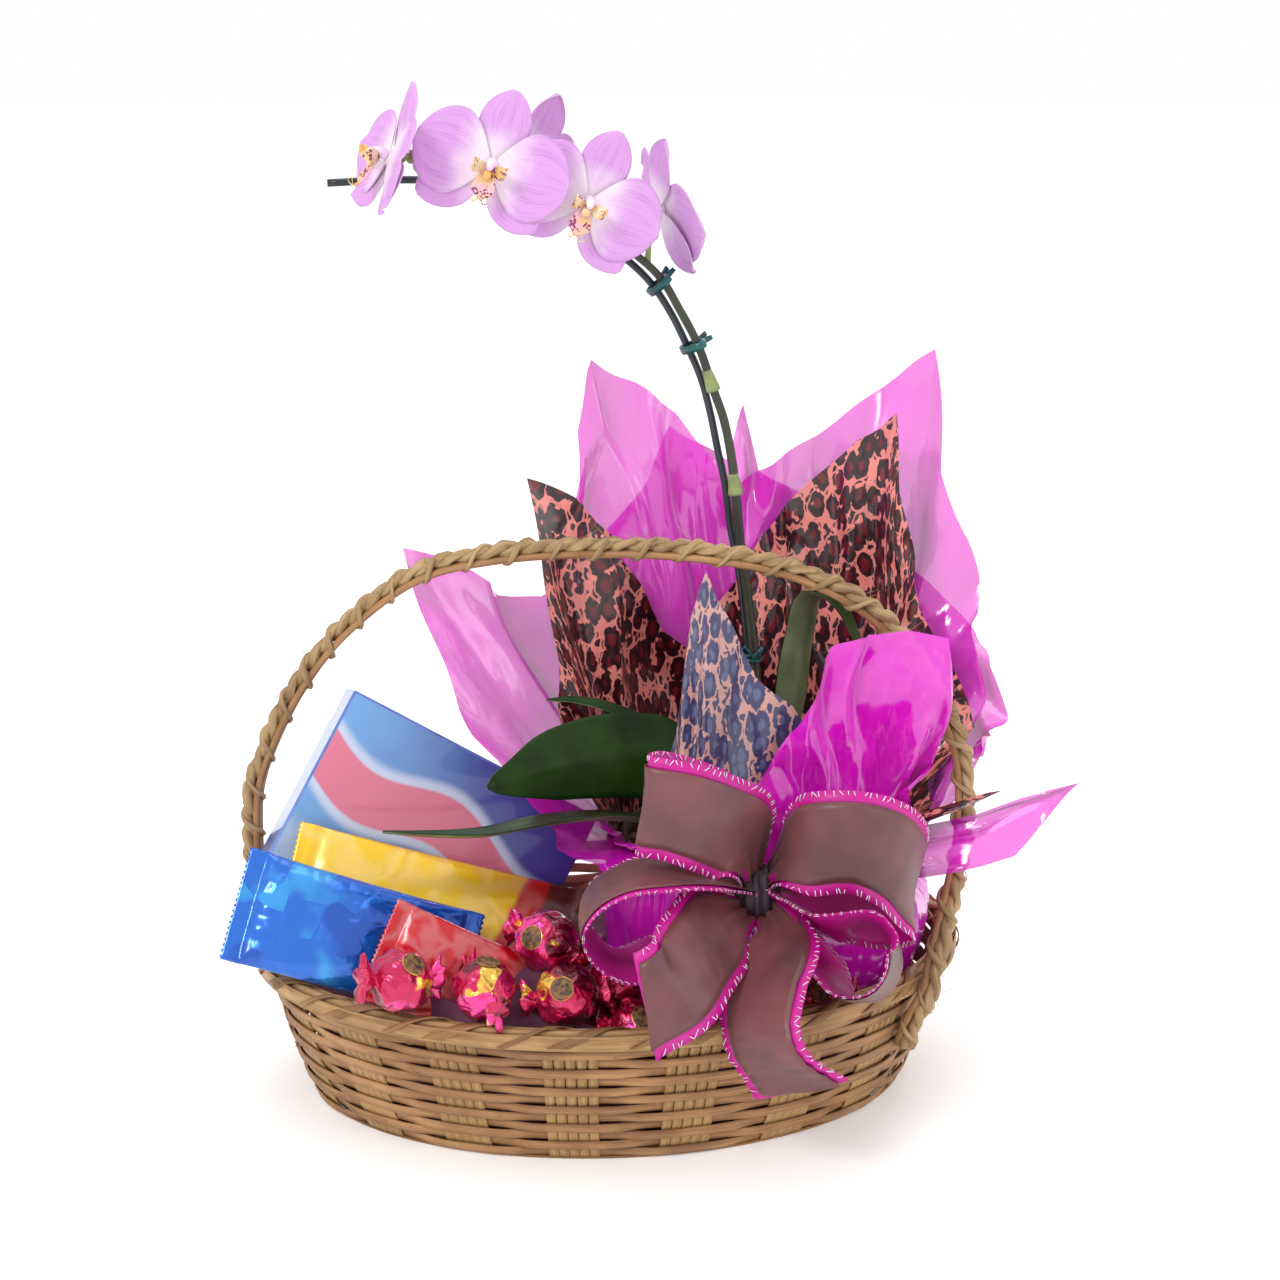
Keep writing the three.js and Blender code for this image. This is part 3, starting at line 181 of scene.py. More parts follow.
@dataclass
class Draft:
    """Points, faces and surface coordinates of a mesh in the making, all in millimetres."""

    points: list[Vector] = field(default_factory=list)
    faces: list[tuple[int, ...]] = field(default_factory=list)
    corners: list[tuple[tuple[float, float], ...]] = field(default_factory=list)
    finishes: list[int] = field(default_factory=list)

    def face(self, ids: Sequence[int], at: Sequence[tuple[float, float]], finish: int = 0) -> None:
        """Adds one face with a surface coordinate for each of its corners."""
        self.faces.append(tuple(ids))
        self.corners.append(tuple(at))
        self.finishes.append(finish)

    def grid(
        self,
        rows: Rows,
        ring: bool = False,
        finish: int = 0,
        flip: bool = False,
        place: Callable[[int, int], tuple[float, float]] | None = None,
    ) -> int:
        """Adds a sheet of quads from rows of points.

        Args:
            rows: Rows of equally many points.
            ring: Whether the last point of each row joins the first.
            finish: Which of the piece's materials the faces take.
            flip: Whether the faces look the other way.
            place: The surface coordinate at a row and a column, where it isn't just the distance.

        Returns:
            The number of the first point added.
        """
        first, columns = len(self.points), len(rows[0])
        self.points.extend(p for row in rows for p in row)
        middle = [row[columns // 2] for row in rows]
        half = rows[len(rows) // 2]
        u = [0.0]
        for a, b in zip(middle, middle[1:]):
            u.append(u[-1] + (b - a).length)
        v = [0.0]
        for a, b in zip(half, [*half[1:], half[0]]):
            v.append(v[-1] + (b - a).length)
        for i in range(len(rows) - 1):
            for j in range(columns if ring else columns - 1):
                k = (j + 1) % columns
                ids = [first + i * columns + j, first + i * columns + k]
                ids += [first + (i + 1) * columns + k, first + (i + 1) * columns + j]
                spots = [(i, j), (i, j + 1), (i + 1, j + 1), (i + 1, j)]
                at = [place(r, c) if place else (u[r], v[c]) for r, c in spots]
                if flip:
                    ids.reverse()
                    at.reverse()
                self.face(ids, at, finish)
        return first

    def cap(self, ids: Sequence[int], finish: int = 0, flip: bool = False) -> None:
        """Closes a loop of points with a fan round its middle."""
        centre = sum((self.points[n] for n in ids), Vector()) / len(ids)
        middle = len(self.points)
        self.points.append(centre)
        for a, b in zip(ids, [*ids[1:], ids[0]]):
            trio = [b, a, middle] if flip else [a, b, middle]
            at = [((self.points[n] - centre).x, (self.points[n] - centre).y) for n in trio]
            self.face(trio, at, finish)

    def loft(self, loops: Rows, finish: int = 0, closed: bool = False) -> None:
        """Adds a solid through loops of points.

        Args:
            loops: Loops of equally many points, each running the same way round.
            finish: Which of the piece's materials the faces take.
            closed: Whether the last loop joins the first, so that there are no ends.
        """
        rows = [*loops, loops[0]] if closed else list(loops)
        columns = len(rows[0])
        first = self.grid(rows, ring=True, finish=finish)
        if not closed:
            self.cap([first + j for j in range(columns)], finish, flip=False)
            last = first + (len(rows) - 1) * columns
            self.cap([last + j for j in range(columns)], finish, flip=True)

    def tube(
        self,
        line: Sequence[Vector],
        radius: Callable[[float], float],
        sides: int = 8,
        finish: int = 0,
    ) -> None:
        """Adds a closed tube along a line.

        Args:
            line: The points of its centreline.
            radius: The radius at a share of the line's length.
            sides: How many corners its section has.
            finish: Which of the piece's materials it takes.
        """
        loops = []
        for n, f in enumerate(frames_along(line, TUBE_ACROSS)):
            r = radius(n / (len(line) - 1))
            corners = circle(sides)
            loops.append([f.at + f.across * r * math.cos(t) + f.other * r * math.sin(t) for t in corners])
        self.loft(loops, finish)

    def ribbon(
        self,
        line: Sequence[Vector],
        sides: Sequence[Vector],
        thick: float,
        finish: int = 0,
        across: int = 1,
    ) -> None:
        """Adds a thin closed strip.

        Args:
            line: The points of its middle line.
            sides: From each point, the vector to the strip's edge.
            thick: How thick the strip is.
            finish: Which of the piece's materials it takes.
            across: How many cells lie across it.
        """
        top, bottom = [], []
        places = [j / across * 2 - 1 for j in range(across + 1)]
        for n, (at, side) in enumerate(zip(line, sides)):
            tangent = (line[min(n + 1, len(line) - 1)] - line[max(n - 1, 0)]).normalized()
            normal = tangent.cross(side).normalized()
            top.append([at + side * t + normal * (thick / 2) for t in places])
            bottom.append([at + side * t - normal * (thick / 2) for t in places])
        self.shell(top, bottom, finish, finish)

    def shell(self, top: Rows, bottom: Rows, over: int = 0, under: int = 0) -> None:
        """Adds a closed sheet between two grids of the same size, each with its own finish."""
        columns, rows = len(top[0]), len(top)
        a = self.grid(top, finish=over, flip=True)
        b = self.grid(bottom, finish=under)
        edge = [*range(columns)]
        edge += [i * columns + columns - 1 for i in range(1, rows)]
        edge += [(rows - 1) * columns + j for j in range(columns - 2, -1, -1)]
        edge += [i * columns for i in range(rows - 2, 0, -1)]
        for p, q in zip(edge, [*edge[1:], edge[0]]):
            self.face([a + p, a + q, b + q, b + p], [(p, 0), (q, 0), (q, 1), (p, 1)], over)

    def blade(self, grid: Rows, thick: float, over: int = 0, under: int = 0) -> None:
        """Adds a closed sheet of even thickness from the grid of its middle surface."""
        rows, columns = len(grid), len(grid[0])
        top, bottom = [], []
        for i, row in enumerate(grid):
            top.append([])
            bottom.append([])
            for j, p in enumerate(row):
                along = grid[min(i + 1, rows - 1)][j] - grid[max(i - 1, 0)][j]
                across = row[min(j + 1, columns - 1)] - row[max(j - 1, 0)]
                normal = along.cross(across).normalized()
                top[-1].append(p + normal * thick / 2)
                bottom[-1].append(p - normal * thick / 2)
        self.shell(top, bottom, over, under)

    def moved(self, turn: Matrix, start: int = 0) -> None:
        """Moves every point from number start on by a matrix."""
        for n in range(start, len(self.points)):
            self.points[n] = turn @ self.points[n]

    def object(
        self,
        name: str,
        materials: Sequence[Material],
        slot: str,
        stands_for: Sequence[str] = (),
        flat: bool = False,
    ) -> bpy.types.Object:
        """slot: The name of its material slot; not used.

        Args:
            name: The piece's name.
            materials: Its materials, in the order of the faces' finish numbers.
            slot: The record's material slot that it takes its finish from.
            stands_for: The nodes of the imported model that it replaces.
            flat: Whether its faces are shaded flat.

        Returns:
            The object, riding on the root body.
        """
        mesh = bpy.data.meshes.new(name)
        mesh.from_pydata([p * MM for p in self.points], [], self.faces)
        layer = mesh.uv_layers.new(name="surface")
        flow = [c * MM for corner in self.corners for at in corner for c in at]
        layer.data.foreach_set("uv", flow)
        mesh.polygons.foreach_set("material_index", self.finishes)
        mesh.polygons.foreach_set("use_smooth", [not flat] * len(mesh.polygons))
        for material in materials:
            mesh.materials.append(material)
        mesh.validate()
        shaped = bmesh.new()
        shaped.from_mesh(mesh)
        bmesh.ops.recalc_face_normals(shaped, faces=shaped.faces)
        shaped.to_mesh(mesh)
        shaped.free()
        piece = bpy.data.objects.new(name, mesh)
        bpy.context.scene.collection.objects.link(piece)
        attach(piece, "root")
        if stands_for:
            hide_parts(*stands_for)
        log.info("%s: %d faces", name, len(mesh.polygons))
        return piece


# Finishes


Value = float | tuple | NodeSocket


class Tree:
    """A node tree in the making."""

    def __init__(self, tree: NodeTree) -> None:
        """Starts from a tree."""
        self.tree = tree

    def add(self, kind: str, sockets: dict[str | int, Value] | None = None, **settings: object) -> Node:
        """Adds a node.

        Args:
            kind: The node's type.
            sockets: What its input sockets get: a number, a colour or another node's output.
            settings: Its own properties.

        Returns:
            The node.
        """
        node = self.tree.nodes.new(kind)
        for name, value in settings.items():
            setattr(node, name, value)
        for name, value in (sockets or {}).items():
            if isinstance(value, NodeSocket):
                self.tree.links.new(value, node.inputs[name])
            else:
                node.inputs[name].default_value = value
        return node

    def maths(self, operation: str, a: Value, b: Value = 0.0) -> NodeSocket:
        """What an operation makes of one or two values."""
        return self.add("ShaderNodeMath", {0: a, 1: b, 2: 0.0}, operation=operation).outputs[0]

    def plus(self, a: Value, b: Value) -> NodeSocket:
        """The sum of two values."""
        return self.maths("ADD", a, b)

    def minus(self, a: Value, b: Value) -> NodeSocket:
        """The first value less the second."""
        return self.maths("SUBTRACT", a, b)

    def times(self, a: Value, b: Value) -> NodeSocket:
        """The product of two values."""
        return self.maths("MULTIPLY", a, b)

    def vector_maths(self, operation: str, a: Value, b: Value) -> NodeSocket:
        """What an operation makes of two vectors."""
        return self.add("ShaderNodeVectorMath", {0: a, 1: b}, operation=operation).outputs[0]

    def scaled(self, place: Value, factor: Value) -> NodeSocket:
        """A place scaled about the surface's origin."""
        sockets = {0: place, "Scale": factor}
        return self.add("ShaderNodeVectorMath", sockets, operation="SCALE").outputs[0]

    def blend(self, share: Value, a: Value, b: Value) -> NodeSocket:
        """A colour between a and b."""
        sockets = {0: share, 6: a, 7: b}
        return self.add("ShaderNodeMix", sockets, data_type="RGBA").outputs[2]

    def step(
        self, value: Value, low: float, high: float, to: tuple[float, float] = (0.0, 1.0)
    ) -> NodeSocket:
        """A smooth step of a value between two limits."""
        sockets = {0: value, 1: low, 2: high, 3: to[0], 4: to[1]}
        return self.add("ShaderNodeMapRange", sockets, interpolation_type="SMOOTHSTEP").outputs[0]

    def stretched(self, place: Value, scale: tuple[float, float, float]) -> NodeSocket:
        """A place with each of its axes scaled."""
        return self.add("ShaderNodeVectorMath", {0: place, 1: scale}, operation="MULTIPLY").outputs[0]

    def noise(self, place: Value, scale: float, detail: float = 3.0, rough: float = 0.55) -> NodeSocket:
        """Smooth noise at a place."""
        sockets = {"Vector": place, "Scale": scale, "Detail": detail, "Roughness": rough}
        return self.add("ShaderNodeTexNoise", sockets).outputs["Fac"]


def colour(red: float, green: float, blue: float) -> tuple[float, float, float, float]:
    """A shader colour from the three parts of a screen colour, each from 0 to 255."""
    parts = [c / 255 for c in (red, green, blue)]
    return (*(p / 12.92 if p <= 0.04045 else ((p + 0.055) / 1.055) ** 2.4 for p in parts), 1.0)


class Effect(Enum):
    """The effects that several materials share, each a shader node group."""

    FIBRES = "plant_fibres"
    CRUMPLE = "crumpled_foil"
    MOTTLE = "mottled_colour"
    WEAVE = "fine_weave"
    ROSETTES = "animal_rosettes"
    VEINS = "parallel_veins"


class Groups:
    """Builds each shared effect once, the first time that a material asks for it."""

    made: dict[Effect, NodeTree] = {}

    @classmethod
    def get(cls, effect: Effect) -> NodeTree:
        """The node group of an effect."""
        if effect not in cls.made:
            makers = {
                Effect.FIBRES: cls.fibres,
                Effect.CRUMPLE: cls.crumple,
                Effect.MOTTLE: cls.mottle,
                Effect.WEAVE: cls.weave,
                Effect.ROSETTES: cls.rosettes,
                Effect.VEINS: cls.veins,
            }
            cls.made[effect] = makers[effect](effect.value)
        return cls.made[effect]

    @staticmethod
    def start(
        name: str, takes: dict[str, Value], gives: dict[str, str]
    ) -> tuple[Tree, dict[str, NodeSocket]]:
        """Starts a group.

        Args:
            name: The group's name.
            takes: Its inputs with the value each has when nothing is linked; None is a place.
            gives: Its outputs, each Color or Float.

        Returns:
            The tree, and its inputs by name.
        """
        tree = bpy.data.node_groups.new(name, "ShaderNodeTree")
        for label, value in takes.items():
            kind = "Vector" if value is None else "Color" if isinstance(value, tuple) else "Float"
            socket = tree.interface.new_socket(label, in_out="INPUT", socket_type=f"NodeSocket{kind}")
            if value is not None:
                socket.default_value = value
        for label, kind in gives.items():
            tree.interface.new_socket(label, in_out="OUTPUT", socket_type=f"NodeSocket{kind}")
        entry = tree.nodes.new("NodeGroupInput")
        return Tree(tree), {s.name: s for s in entry.outputs if s.name}

    @staticmethod
    def finish(made: Tree, results: dict[str, NodeSocket]) -> NodeTree:
        """Links a group's outputs and hands the group back."""
        made.add("NodeGroupOutput", results)
        return made.tree

    @classmethod
    def fibres(cls, name: str) -> NodeTree:
        """Split cane or straw: long fibres along the surface's first direction, with darker streaks."""
        takes = {"Place": None, "Light": (0.6, 0.4, 0.2, 1), "Dark": (0.2, 0.1, 0.05, 1), "Fineness": 1.0}
        t, has = cls.start(name, takes, {"Color": "Color", "Height": "Float", "Roughness": "Float"})
        scaled = t.scaled(has["Place"], has["Fineness"])
        fine = t.noise(t.stretched(scaled, (40.0, 2600.0, 1.0)), 1.0, 2.0, 0.6)
        broad = t.noise(t.stretched(scaled, (14.0, 240.0, 1.0)), 1.0, 3.0, 0.6)
        patch = t.noise(has["Place"], 28.0, 2.0, 0.5)
        tone = t.plus(t.times(fine, 0.4), t.times(broad, 0.45))
        tone = t.plus(tone, t.times(patch, 0.4))
        share = t.step(tone, 0.42, 0.86)
        tint = t.blend(share, has["Light"], has["Dark"])
        rough = t.step(broad, 0.3, 0.7, (0.42, 0.72))
        height = t.plus(t.times(fine, 0.6), t.times(broad, 0.4))
        return cls.finish(t, {"Color": tint, "Height": height, "Roughness": rough})

    @classmethod
    def crumple(cls, name: str) -> NodeTree:
        """Creased foil or film: flat facets with sharp folds between them, and finer creases on them."""
        takes = {"Place": None, "Scale": 60.0, "Fine": 0.35}
        t, has = cls.start(name, takes, {"Height": "Float", "Crease": "Float", "Facet": "Float"})
        bend = t.add("ShaderNodeTexNoise", {"Vector": has["Place"], "Scale": has["Scale"], "Detail": 2.0})
        moved = t.vector_maths("MULTIPLY", bend.outputs["Color"], (0.02, 0.02, 0.02))
        scattered = {"Vector": t.vector_maths("ADD", has["Place"], moved), "Scale": has["Scale"]}
        cells = t.add("ShaderNodeTexVoronoi", scattered, feature="DISTANCE_TO_EDGE")
        facets = t.add("ShaderNodeTexVoronoi", scattered, feature="SMOOTH_F1")
        ridge = t.step(cells.outputs["Distance"], 0.0, 0.25)
        tilt = facets.outputs["Distance"]
        small = t.times(bend.outputs["Fac"], has["Fine"])
        height = t.plus(t.plus(t.times(ridge, 0.35), tilt), small)
        sockets = {"Height": height, "Crease": t.minus(1.0, ridge), "Facet": tilt}
        return cls.finish(t, sockets)

    @classmethod
    def mottle(cls, name: str) -> NodeTree:
        """Two close tones that wander into each other."""
        takes = {"Place": None, "First": (0.5, 0.5, 0.5, 1), "Second": (0.6, 0.6, 0.6, 1), "Scale": 60.0}
        t, has = cls.start(name, takes, {"Color": "Color", "Tone": "Float"})
        cloud = t.add("ShaderNodeTexNoise", {"Vector": has["Place"], "Scale": has["Scale"], "Detail": 4.0})
        tone = t.step(cloud.outputs["Fac"], 0.3, 0.7)
        return cls.finish(t, {"Color": t.blend(tone, has["First"], has["Second"]), "Tone": tone})

    @classmethod
    def weave(cls, name: str) -> NodeTree:
        """Fine threads crossing along the two surface directions."""
        takes = {"Place": None, "Threads": 2200.0}
        t, has = cls.start(name, takes, {"Height": "Float", "Mask": "Float"})
        scaled = t.scaled(has["Place"], has["Threads"])
        parts = t.add("ShaderNodeSeparateXYZ", {0: scaled})
        warp = t.maths("ABSOLUTE", t.maths("SINE", parts.outputs[0]))
        weft = t.maths("ABSOLUTE", t.maths("SINE", parts.outputs[1]))
        height = t.maths("MAXIMUM", warp, weft)
        return cls.finish(t, {"Height": height, "Mask": t.times(warp, weft)})

    @classmethod
    def rosettes(cls, name: str) -> NodeTree:
        """A common animal print: dark broken rings with a warmer middle on a plain ground."""
        takes = {
            "Place": None,
            "Ground": (0.8, 0.3, 0.25, 1),
            "Ring": (0.05, 0.01, 0.02, 1),
            "Middle": (0.4, 0.08, 0.05, 1),
        }
        t, has = cls.start(name, takes, {"Color": "Color", "Mask": "Float"})
        wander = t.add("ShaderNodeTexNoise", {"Vector": has["Place"], "Scale": 190.0, "Detail": 3.0})
        offset = t.vector_maths("SUBTRACT", wander.outputs["Color"], (0.5, 0.5, 0.5))
        moved = t.stretched(offset, (0.006, 0.006, 0.006))
        place = t.stretched(t.vector_maths("ADD", has["Place"], moved), (0.8, 1.1, 1.0))
        scattered = {"Vector": place, "Scale": 86.0, "Randomness": 0.8}
        cells = t.add("ShaderNodeTexVoronoi", scattered, voronoi_dimensions="2D")
        reach = t.plus(cells.outputs["Distance"], t.times(wander.outputs["Fac"], 0.12))
        tone = t.add("ShaderNodeSeparateXYZ", {0: cells.outputs["Color"]})
        limit = t.minus(0.64, t.times(tone.outputs[0], 0.14))
        inside = t.step(t.minus(limit, reach), -0.02, 0.03)
        heart = t.step(t.plus(reach, t.times(tone.outputs[1], 0.14)), 0.26, 0.38)
        small = t.add("ShaderNodeTexVoronoi", {"Vector": place, "Scale": 190.0}, voronoi_dimensions="2D")
        specks = t.step(small.outputs["Distance"], 0.36, 0.28)
        outside = t.times(specks, t.step(t.minus(reach, limit), 0.06, 0.12))
        gap = t.step(t.noise(has["Place"], 150.0, 1.0, 0.4), 0.33, 0.37)
        tint = t.blend(heart, has["Middle"], has["Ring"])
        ring = t.maths("MAXIMUM", gap, t.minus(1.0, heart))
        mask = t.maths("MAXIMUM", t.times(inside, ring), outside)
        return cls.finish(t, {"Color": t.blend(mask, has["Ground"], tint), "Mask": mask})

    @classmethod
    def veins(cls, name: str) -> NodeTree:
        """Fine veins that run along the surface's first direction and fork a little."""
        takes = {"Place": None, "Fineness": 1.0}
        t, has = cls.start(name, takes, {"Height": "Float", "Vein": "Float"})
        scaled = t.scaled(has["Place"], has["Fineness"])
        drift = t.add("ShaderNodeTexNoise", {"Vector": scaled, "Scale": 90.0, "Detail": 2.0})
        moved = t.stretched(drift.outputs["Color"], (0.0, 0.004, 0.0))
        place = t.vector_maths("ADD", scaled, moved)
        lines = t.noise(t.stretched(place, (18.0, 900.0, 1.0)), 1.0, 2.0, 0.5)
        return cls.finish(t, {"Height": lines, "Vein": t.step(lines, 0.52, 0.7)})


@dataclass(frozen=True)
class Finish:
    """What every finish has: a name, a base roughness, and how its relief is scaled.

    A kind of finish adds its own colours and says in paint() what feeds the shader.
    """

    name: str
    roughness: float = 0.5
    relief: float = 0.0002
    settings: tuple[tuple[str, float | tuple], ...] = ()

    def paint(self, t: Tree, place: NodeSocket) -> dict[str, NodeSocket]:
        """What feeds the shader, by socket name; Height feeds a bump."""
        raise NotImplementedError

    @cache
    def material(self) -> Material:
        """The material, made the first time it is asked for."""
        made = bpy.data.materials.new(self.name)
        made.use_nodes = True
        t = Tree(made.node_tree)
        shader = made.node_tree.nodes["Principled BSDF"]
        shader.inputs["Roughness"].default_value = self.roughness
        for socket, value in self.settings:
            shader.inputs[socket].default_value = value
        place = t.add("ShaderNodeUVMap", uv_map="surface").outputs[0]
        fed = self.paint(t, place)
        if "Height" in fed:
            sockets = {"Height": fed.pop("Height"), "Strength": 1.0, "Distance": self.relief}
            bump = t.add("ShaderNodeBump", sockets)
            fed["Normal"] = bump.outputs[0]
        for socket, source in fed.items():
            made.node_tree.links.new(source, shader.inputs[socket])
        return made

    @staticmethod
    def group(t: Tree, effect: Effect, sockets: dict[str, Value]) -> Node:
        """A shared effect in a material's tree."""
        node = t.tree.nodes.new("ShaderNodeGroup")
        node.node_tree = Groups.get(effect)
        for name, value in sockets.items():
            if isinstance(value, NodeSocket):
                t.tree.links.new(value, node.inputs[name])
            else:
                node.inputs[name].default_value = value
        return node

    @staticmethod
    def solid_place(t: Tree) -> NodeSocket:
        """The place of a point in the object's own space, in metres."""
        return t.add("ShaderNodeTexCoord").outputs["Object"]


@dataclass(frozen=True)
class Cane(Finish):
    """Split cane, straw or bark: fibres between two tones."""

    light: tuple = (0.6, 0.4, 0.2, 1)
    dark: tuple = (0.2, 0.1, 0.05, 1)
    fineness: float = 1.0

    def paint(self, t: Tree, place: NodeSocket) -> dict[str, NodeSocket]:
        """Fibres along the splint, with slow changes of tone over the whole object."""
        sockets = {"Place": place, "Light": self.light, "Dark": self.dark, "Fineness": self.fineness}
        grain = self.group(t, Effect.FIBRES, sockets)
        cloud = t.step(t.noise(self.solid_place(t), 45.0, 3.0), 0.35, 0.7, (0.0, 0.35))
        tint = t.blend(cloud, grain.outputs["Color"], self.dark)
        height, rough = grain.outputs["Height"], grain.outputs["Roughness"]
        return {"Base Color": tint, "Height": height, "Roughness": rough}


@dataclass(frozen=True)
class Mottled(Finish):
    """Moulded plastic, coating, paper or skin: two close tones and a fine relief."""

    first: tuple = (0.5, 0.5, 0.5, 1)
    second: tuple = (0.6, 0.6, 0.6, 1)
    scale: float = 60.0
    grain: float = 900.0

    def paint(self, t: Tree, place: NodeSocket) -> dict[str, NodeSocket]:
        """Two tones that wander, with a fine grain as relief."""
        where = self.solid_place(t)
        sockets = {"Place": where, "First": self.first, "Second": self.second, "Scale": self.scale}
        tone = self.group(t, Effect.MOTTLE, sockets)
        rough = t.step(tone.outputs["Tone"], 0.0, 1.0, (self.roughness * 0.85, self.roughness * 1.15))
        height = t.noise(where, self.grain, 2.0)
        return {"Base Color": tone.outputs["Color"], "Height": height, "Roughness": rough}


@dataclass(frozen=True)
class Leaf(Finish):
    """A thick waxy leaf with faint parallel veins, a darker upper side and a paler underside."""

    upper: tuple = colour(32, 60, 14)
    deep: tuple = colour(18, 40, 8)

    def paint(self, t: Tree, place: NodeSocket) -> dict[str, NodeSocket]:
        """Green in two tones, with darker veins."""
        veins = self.group(t, Effect.VEINS, {"Place": place, "Fineness": 1.0})
        where = self.solid_place(t)
        sockets = {"Place": where, "First": self.upper, "Second": self.deep, "Scale": 45.0}
        tone = self.group(t, Effect.MOTTLE, sockets)
        tint = t.blend(t.times(veins.outputs["Vein"], 0.35), tone.outputs["Color"], self.deep)
        rough = t.step(tone.outputs["Tone"], 0.0, 1.0, (0.34, 0.5))
        return {"Base Color": tint, "Height": veins.outputs["Height"], "Roughness": rough}


@dataclass(frozen=True)
class Tepal(Finish):
    """A petal or sepal: white near the middle, lilac pink further out, with finer pink veins."""

    middle: tuple = colour(230, 216, 228)
    outer: tuple = colour(204, 152, 210)
    vein: tuple = colour(176, 100, 188)
    reach: float = 0.036

    def paint(self, t: Tree, place: NodeSocket) -> dict[str, NodeSocket]:
        """The first surface direction runs out from the flower's middle."""
        parts = t.add("ShaderNodeSeparateXYZ", {0: place})
        cloud = t.noise(self.solid_place(t), 110.0, 3.0)
        out = t.plus(t.maths("DIVIDE", parts.outputs[0], self.reach), t.times(cloud, 0.3))
        far = t.step(out, 0.24, 0.74)
        veins = self.group(t, Effect.VEINS, {"Place": place, "Fineness": 1.4})
        tint = t.blend(far, self.middle, self.outer)
        share = t.times(veins.outputs["Vein"], t.step(out, 0.3, 0.8, (0.1, 0.5)))
        tint = t.blend(share, tint, self.vein)
        rim = t.step(out, 1.08, 1.4, (0.0, 0.4))
        tint = t.blend(rim, tint, self.middle)
        return {"Base Color": tint, "Height": veins.outputs["Height"]}


@dataclass(frozen=True)
class Spotted(Finish):
    """The lip and column: one ground colour with small spots over part of it."""

    ground: tuple = colour(232, 216, 182)
    second: tuple = colour(220, 168, 84)
    spot: tuple = colour(132, 30, 98)
    amount: float = 0.5
    scale: float = 700.0

    def paint(self, t: Tree, place: NodeSocket) -> dict[str, NodeSocket]:
        """Spots in cells, over a ground that changes tone."""
        where = self.solid_place(t)
        sockets = {"Place": where, "First": self.ground, "Second": self.second, "Scale": 160.0}
        tone = self.group(t, Effect.MOTTLE, sockets)
        cells = t.add("ShaderNodeTexVoronoi", {"Vector": where, "Scale": self.scale, "Randomness": 0.9})
        patch = t.step(t.noise(where, 180.0, 1.0), 0.4, 0.62, (0.0, self.amount))
        spot = t.step(t.minus(patch, cells.outputs["Distance"]), -0.05, 0.05)
        tint = t.blend(spot, tone.outputs["Color"], self.spot)
        return {"Base Color": tint, "Height": cells.outputs["Distance"]}


@dataclass(frozen=True)
class PrintedFilm(Finish):
    """Printed plastic film with an animal pattern."""

    ground: tuple = colour(234, 136, 128)
    ring: tuple = colour(44, 8, 20)
    middle: tuple = colour(108, 16, 28)
    crease: float = 55.0

    def paint(self, t: Tree, place: NodeSocket) -> dict[str, NodeSocket]:
        """The pattern, its ground changing a little in tone, with soft creases."""
        sockets = {"Place": place, "Ground": self.ground, "Ring": self.ring, "Middle": self.middle}
        rosettes = self.group(t, Effect.ROSETTES, sockets)
        folds = self.group(t, Effect.CRUMPLE, {"Place": place, "Scale": self.crease, "Fine": 0.3})
        tone_and_highlight = t.step(t.noise(place, 30.0, 3.0), 0.45, 0.8, (0.0, 0.25))
        tint = t.blend(tone_and_highlight, rosettes.outputs["Color"], self.ring)
        return {"Base Color": tint, "Height": folds.outputs["Height"]}


@dataclass(frozen=True)
class ClearFilm(Finish):
    """Thin see-through film: cellophane, sheer ribbon or clear wrapping."""

    tint: tuple = colour(226, 24, 202)
    deep: tuple = colour(204, 8, 180)
    cover: tuple[float, float] = (0.85, 0.98)
    crease: float = 26.0

    def paint(self, t: Tree, place: NodeSocket) -> dict[str, NodeSocket]:
        """Creases show as relief and as denser lines, and the film covers more where it is seen edge on."""
        folds = self.group(t, Effect.CRUMPLE, {"Place": place, "Scale": self.crease, "Fine": 0.5})
        edge = t.add("ShaderNodeLayerWeight", {"Blend": 0.35}).outputs["Facing"]
        streak = t.step(t.noise(t.stretched(place, (6.0, 38.0, 1.0)), 1.0, 3.0), 0.35, 0.75)
        tint = t.blend(streak, self.tint, self.deep)
        creased = t.times(folds.outputs["Crease"], 0.12)
        cover = t.plus(t.times(edge, 0.75), creased)
        alpha = t.step(cover, 0.0, 0.9, self.cover)
        return {"Base Color": tint, "Height": folds.outputs["Height"], "Alpha": alpha}


@dataclass(frozen=True)
class Cloth(Finish):
    """Satin ribbon: a fine weave with slow changes of tone."""

    light: tuple = colour(116, 64, 66)
    dark: tuple = colour(88, 48, 51)
    threads: float = 9000.0

    def paint(self, t: Tree, place: NodeSocket) -> dict[str, NodeSocket]:
        """Threads as relief and as a slight change of tone."""
        threads = self.group(t, Effect.WEAVE, {"Place": place, "Threads": self.threads})
        cloud = t.step(t.noise(self.solid_place(t), 30.0, 2.0), 0.3, 0.7)
        tint = t.blend(cloud, self.light, self.dark)
        tint = t.blend(t.times(threads.outputs["Mask"], 0.18), tint, self.light)
        return {"Base Color": tint, "Height": threads.outputs["Height"]}


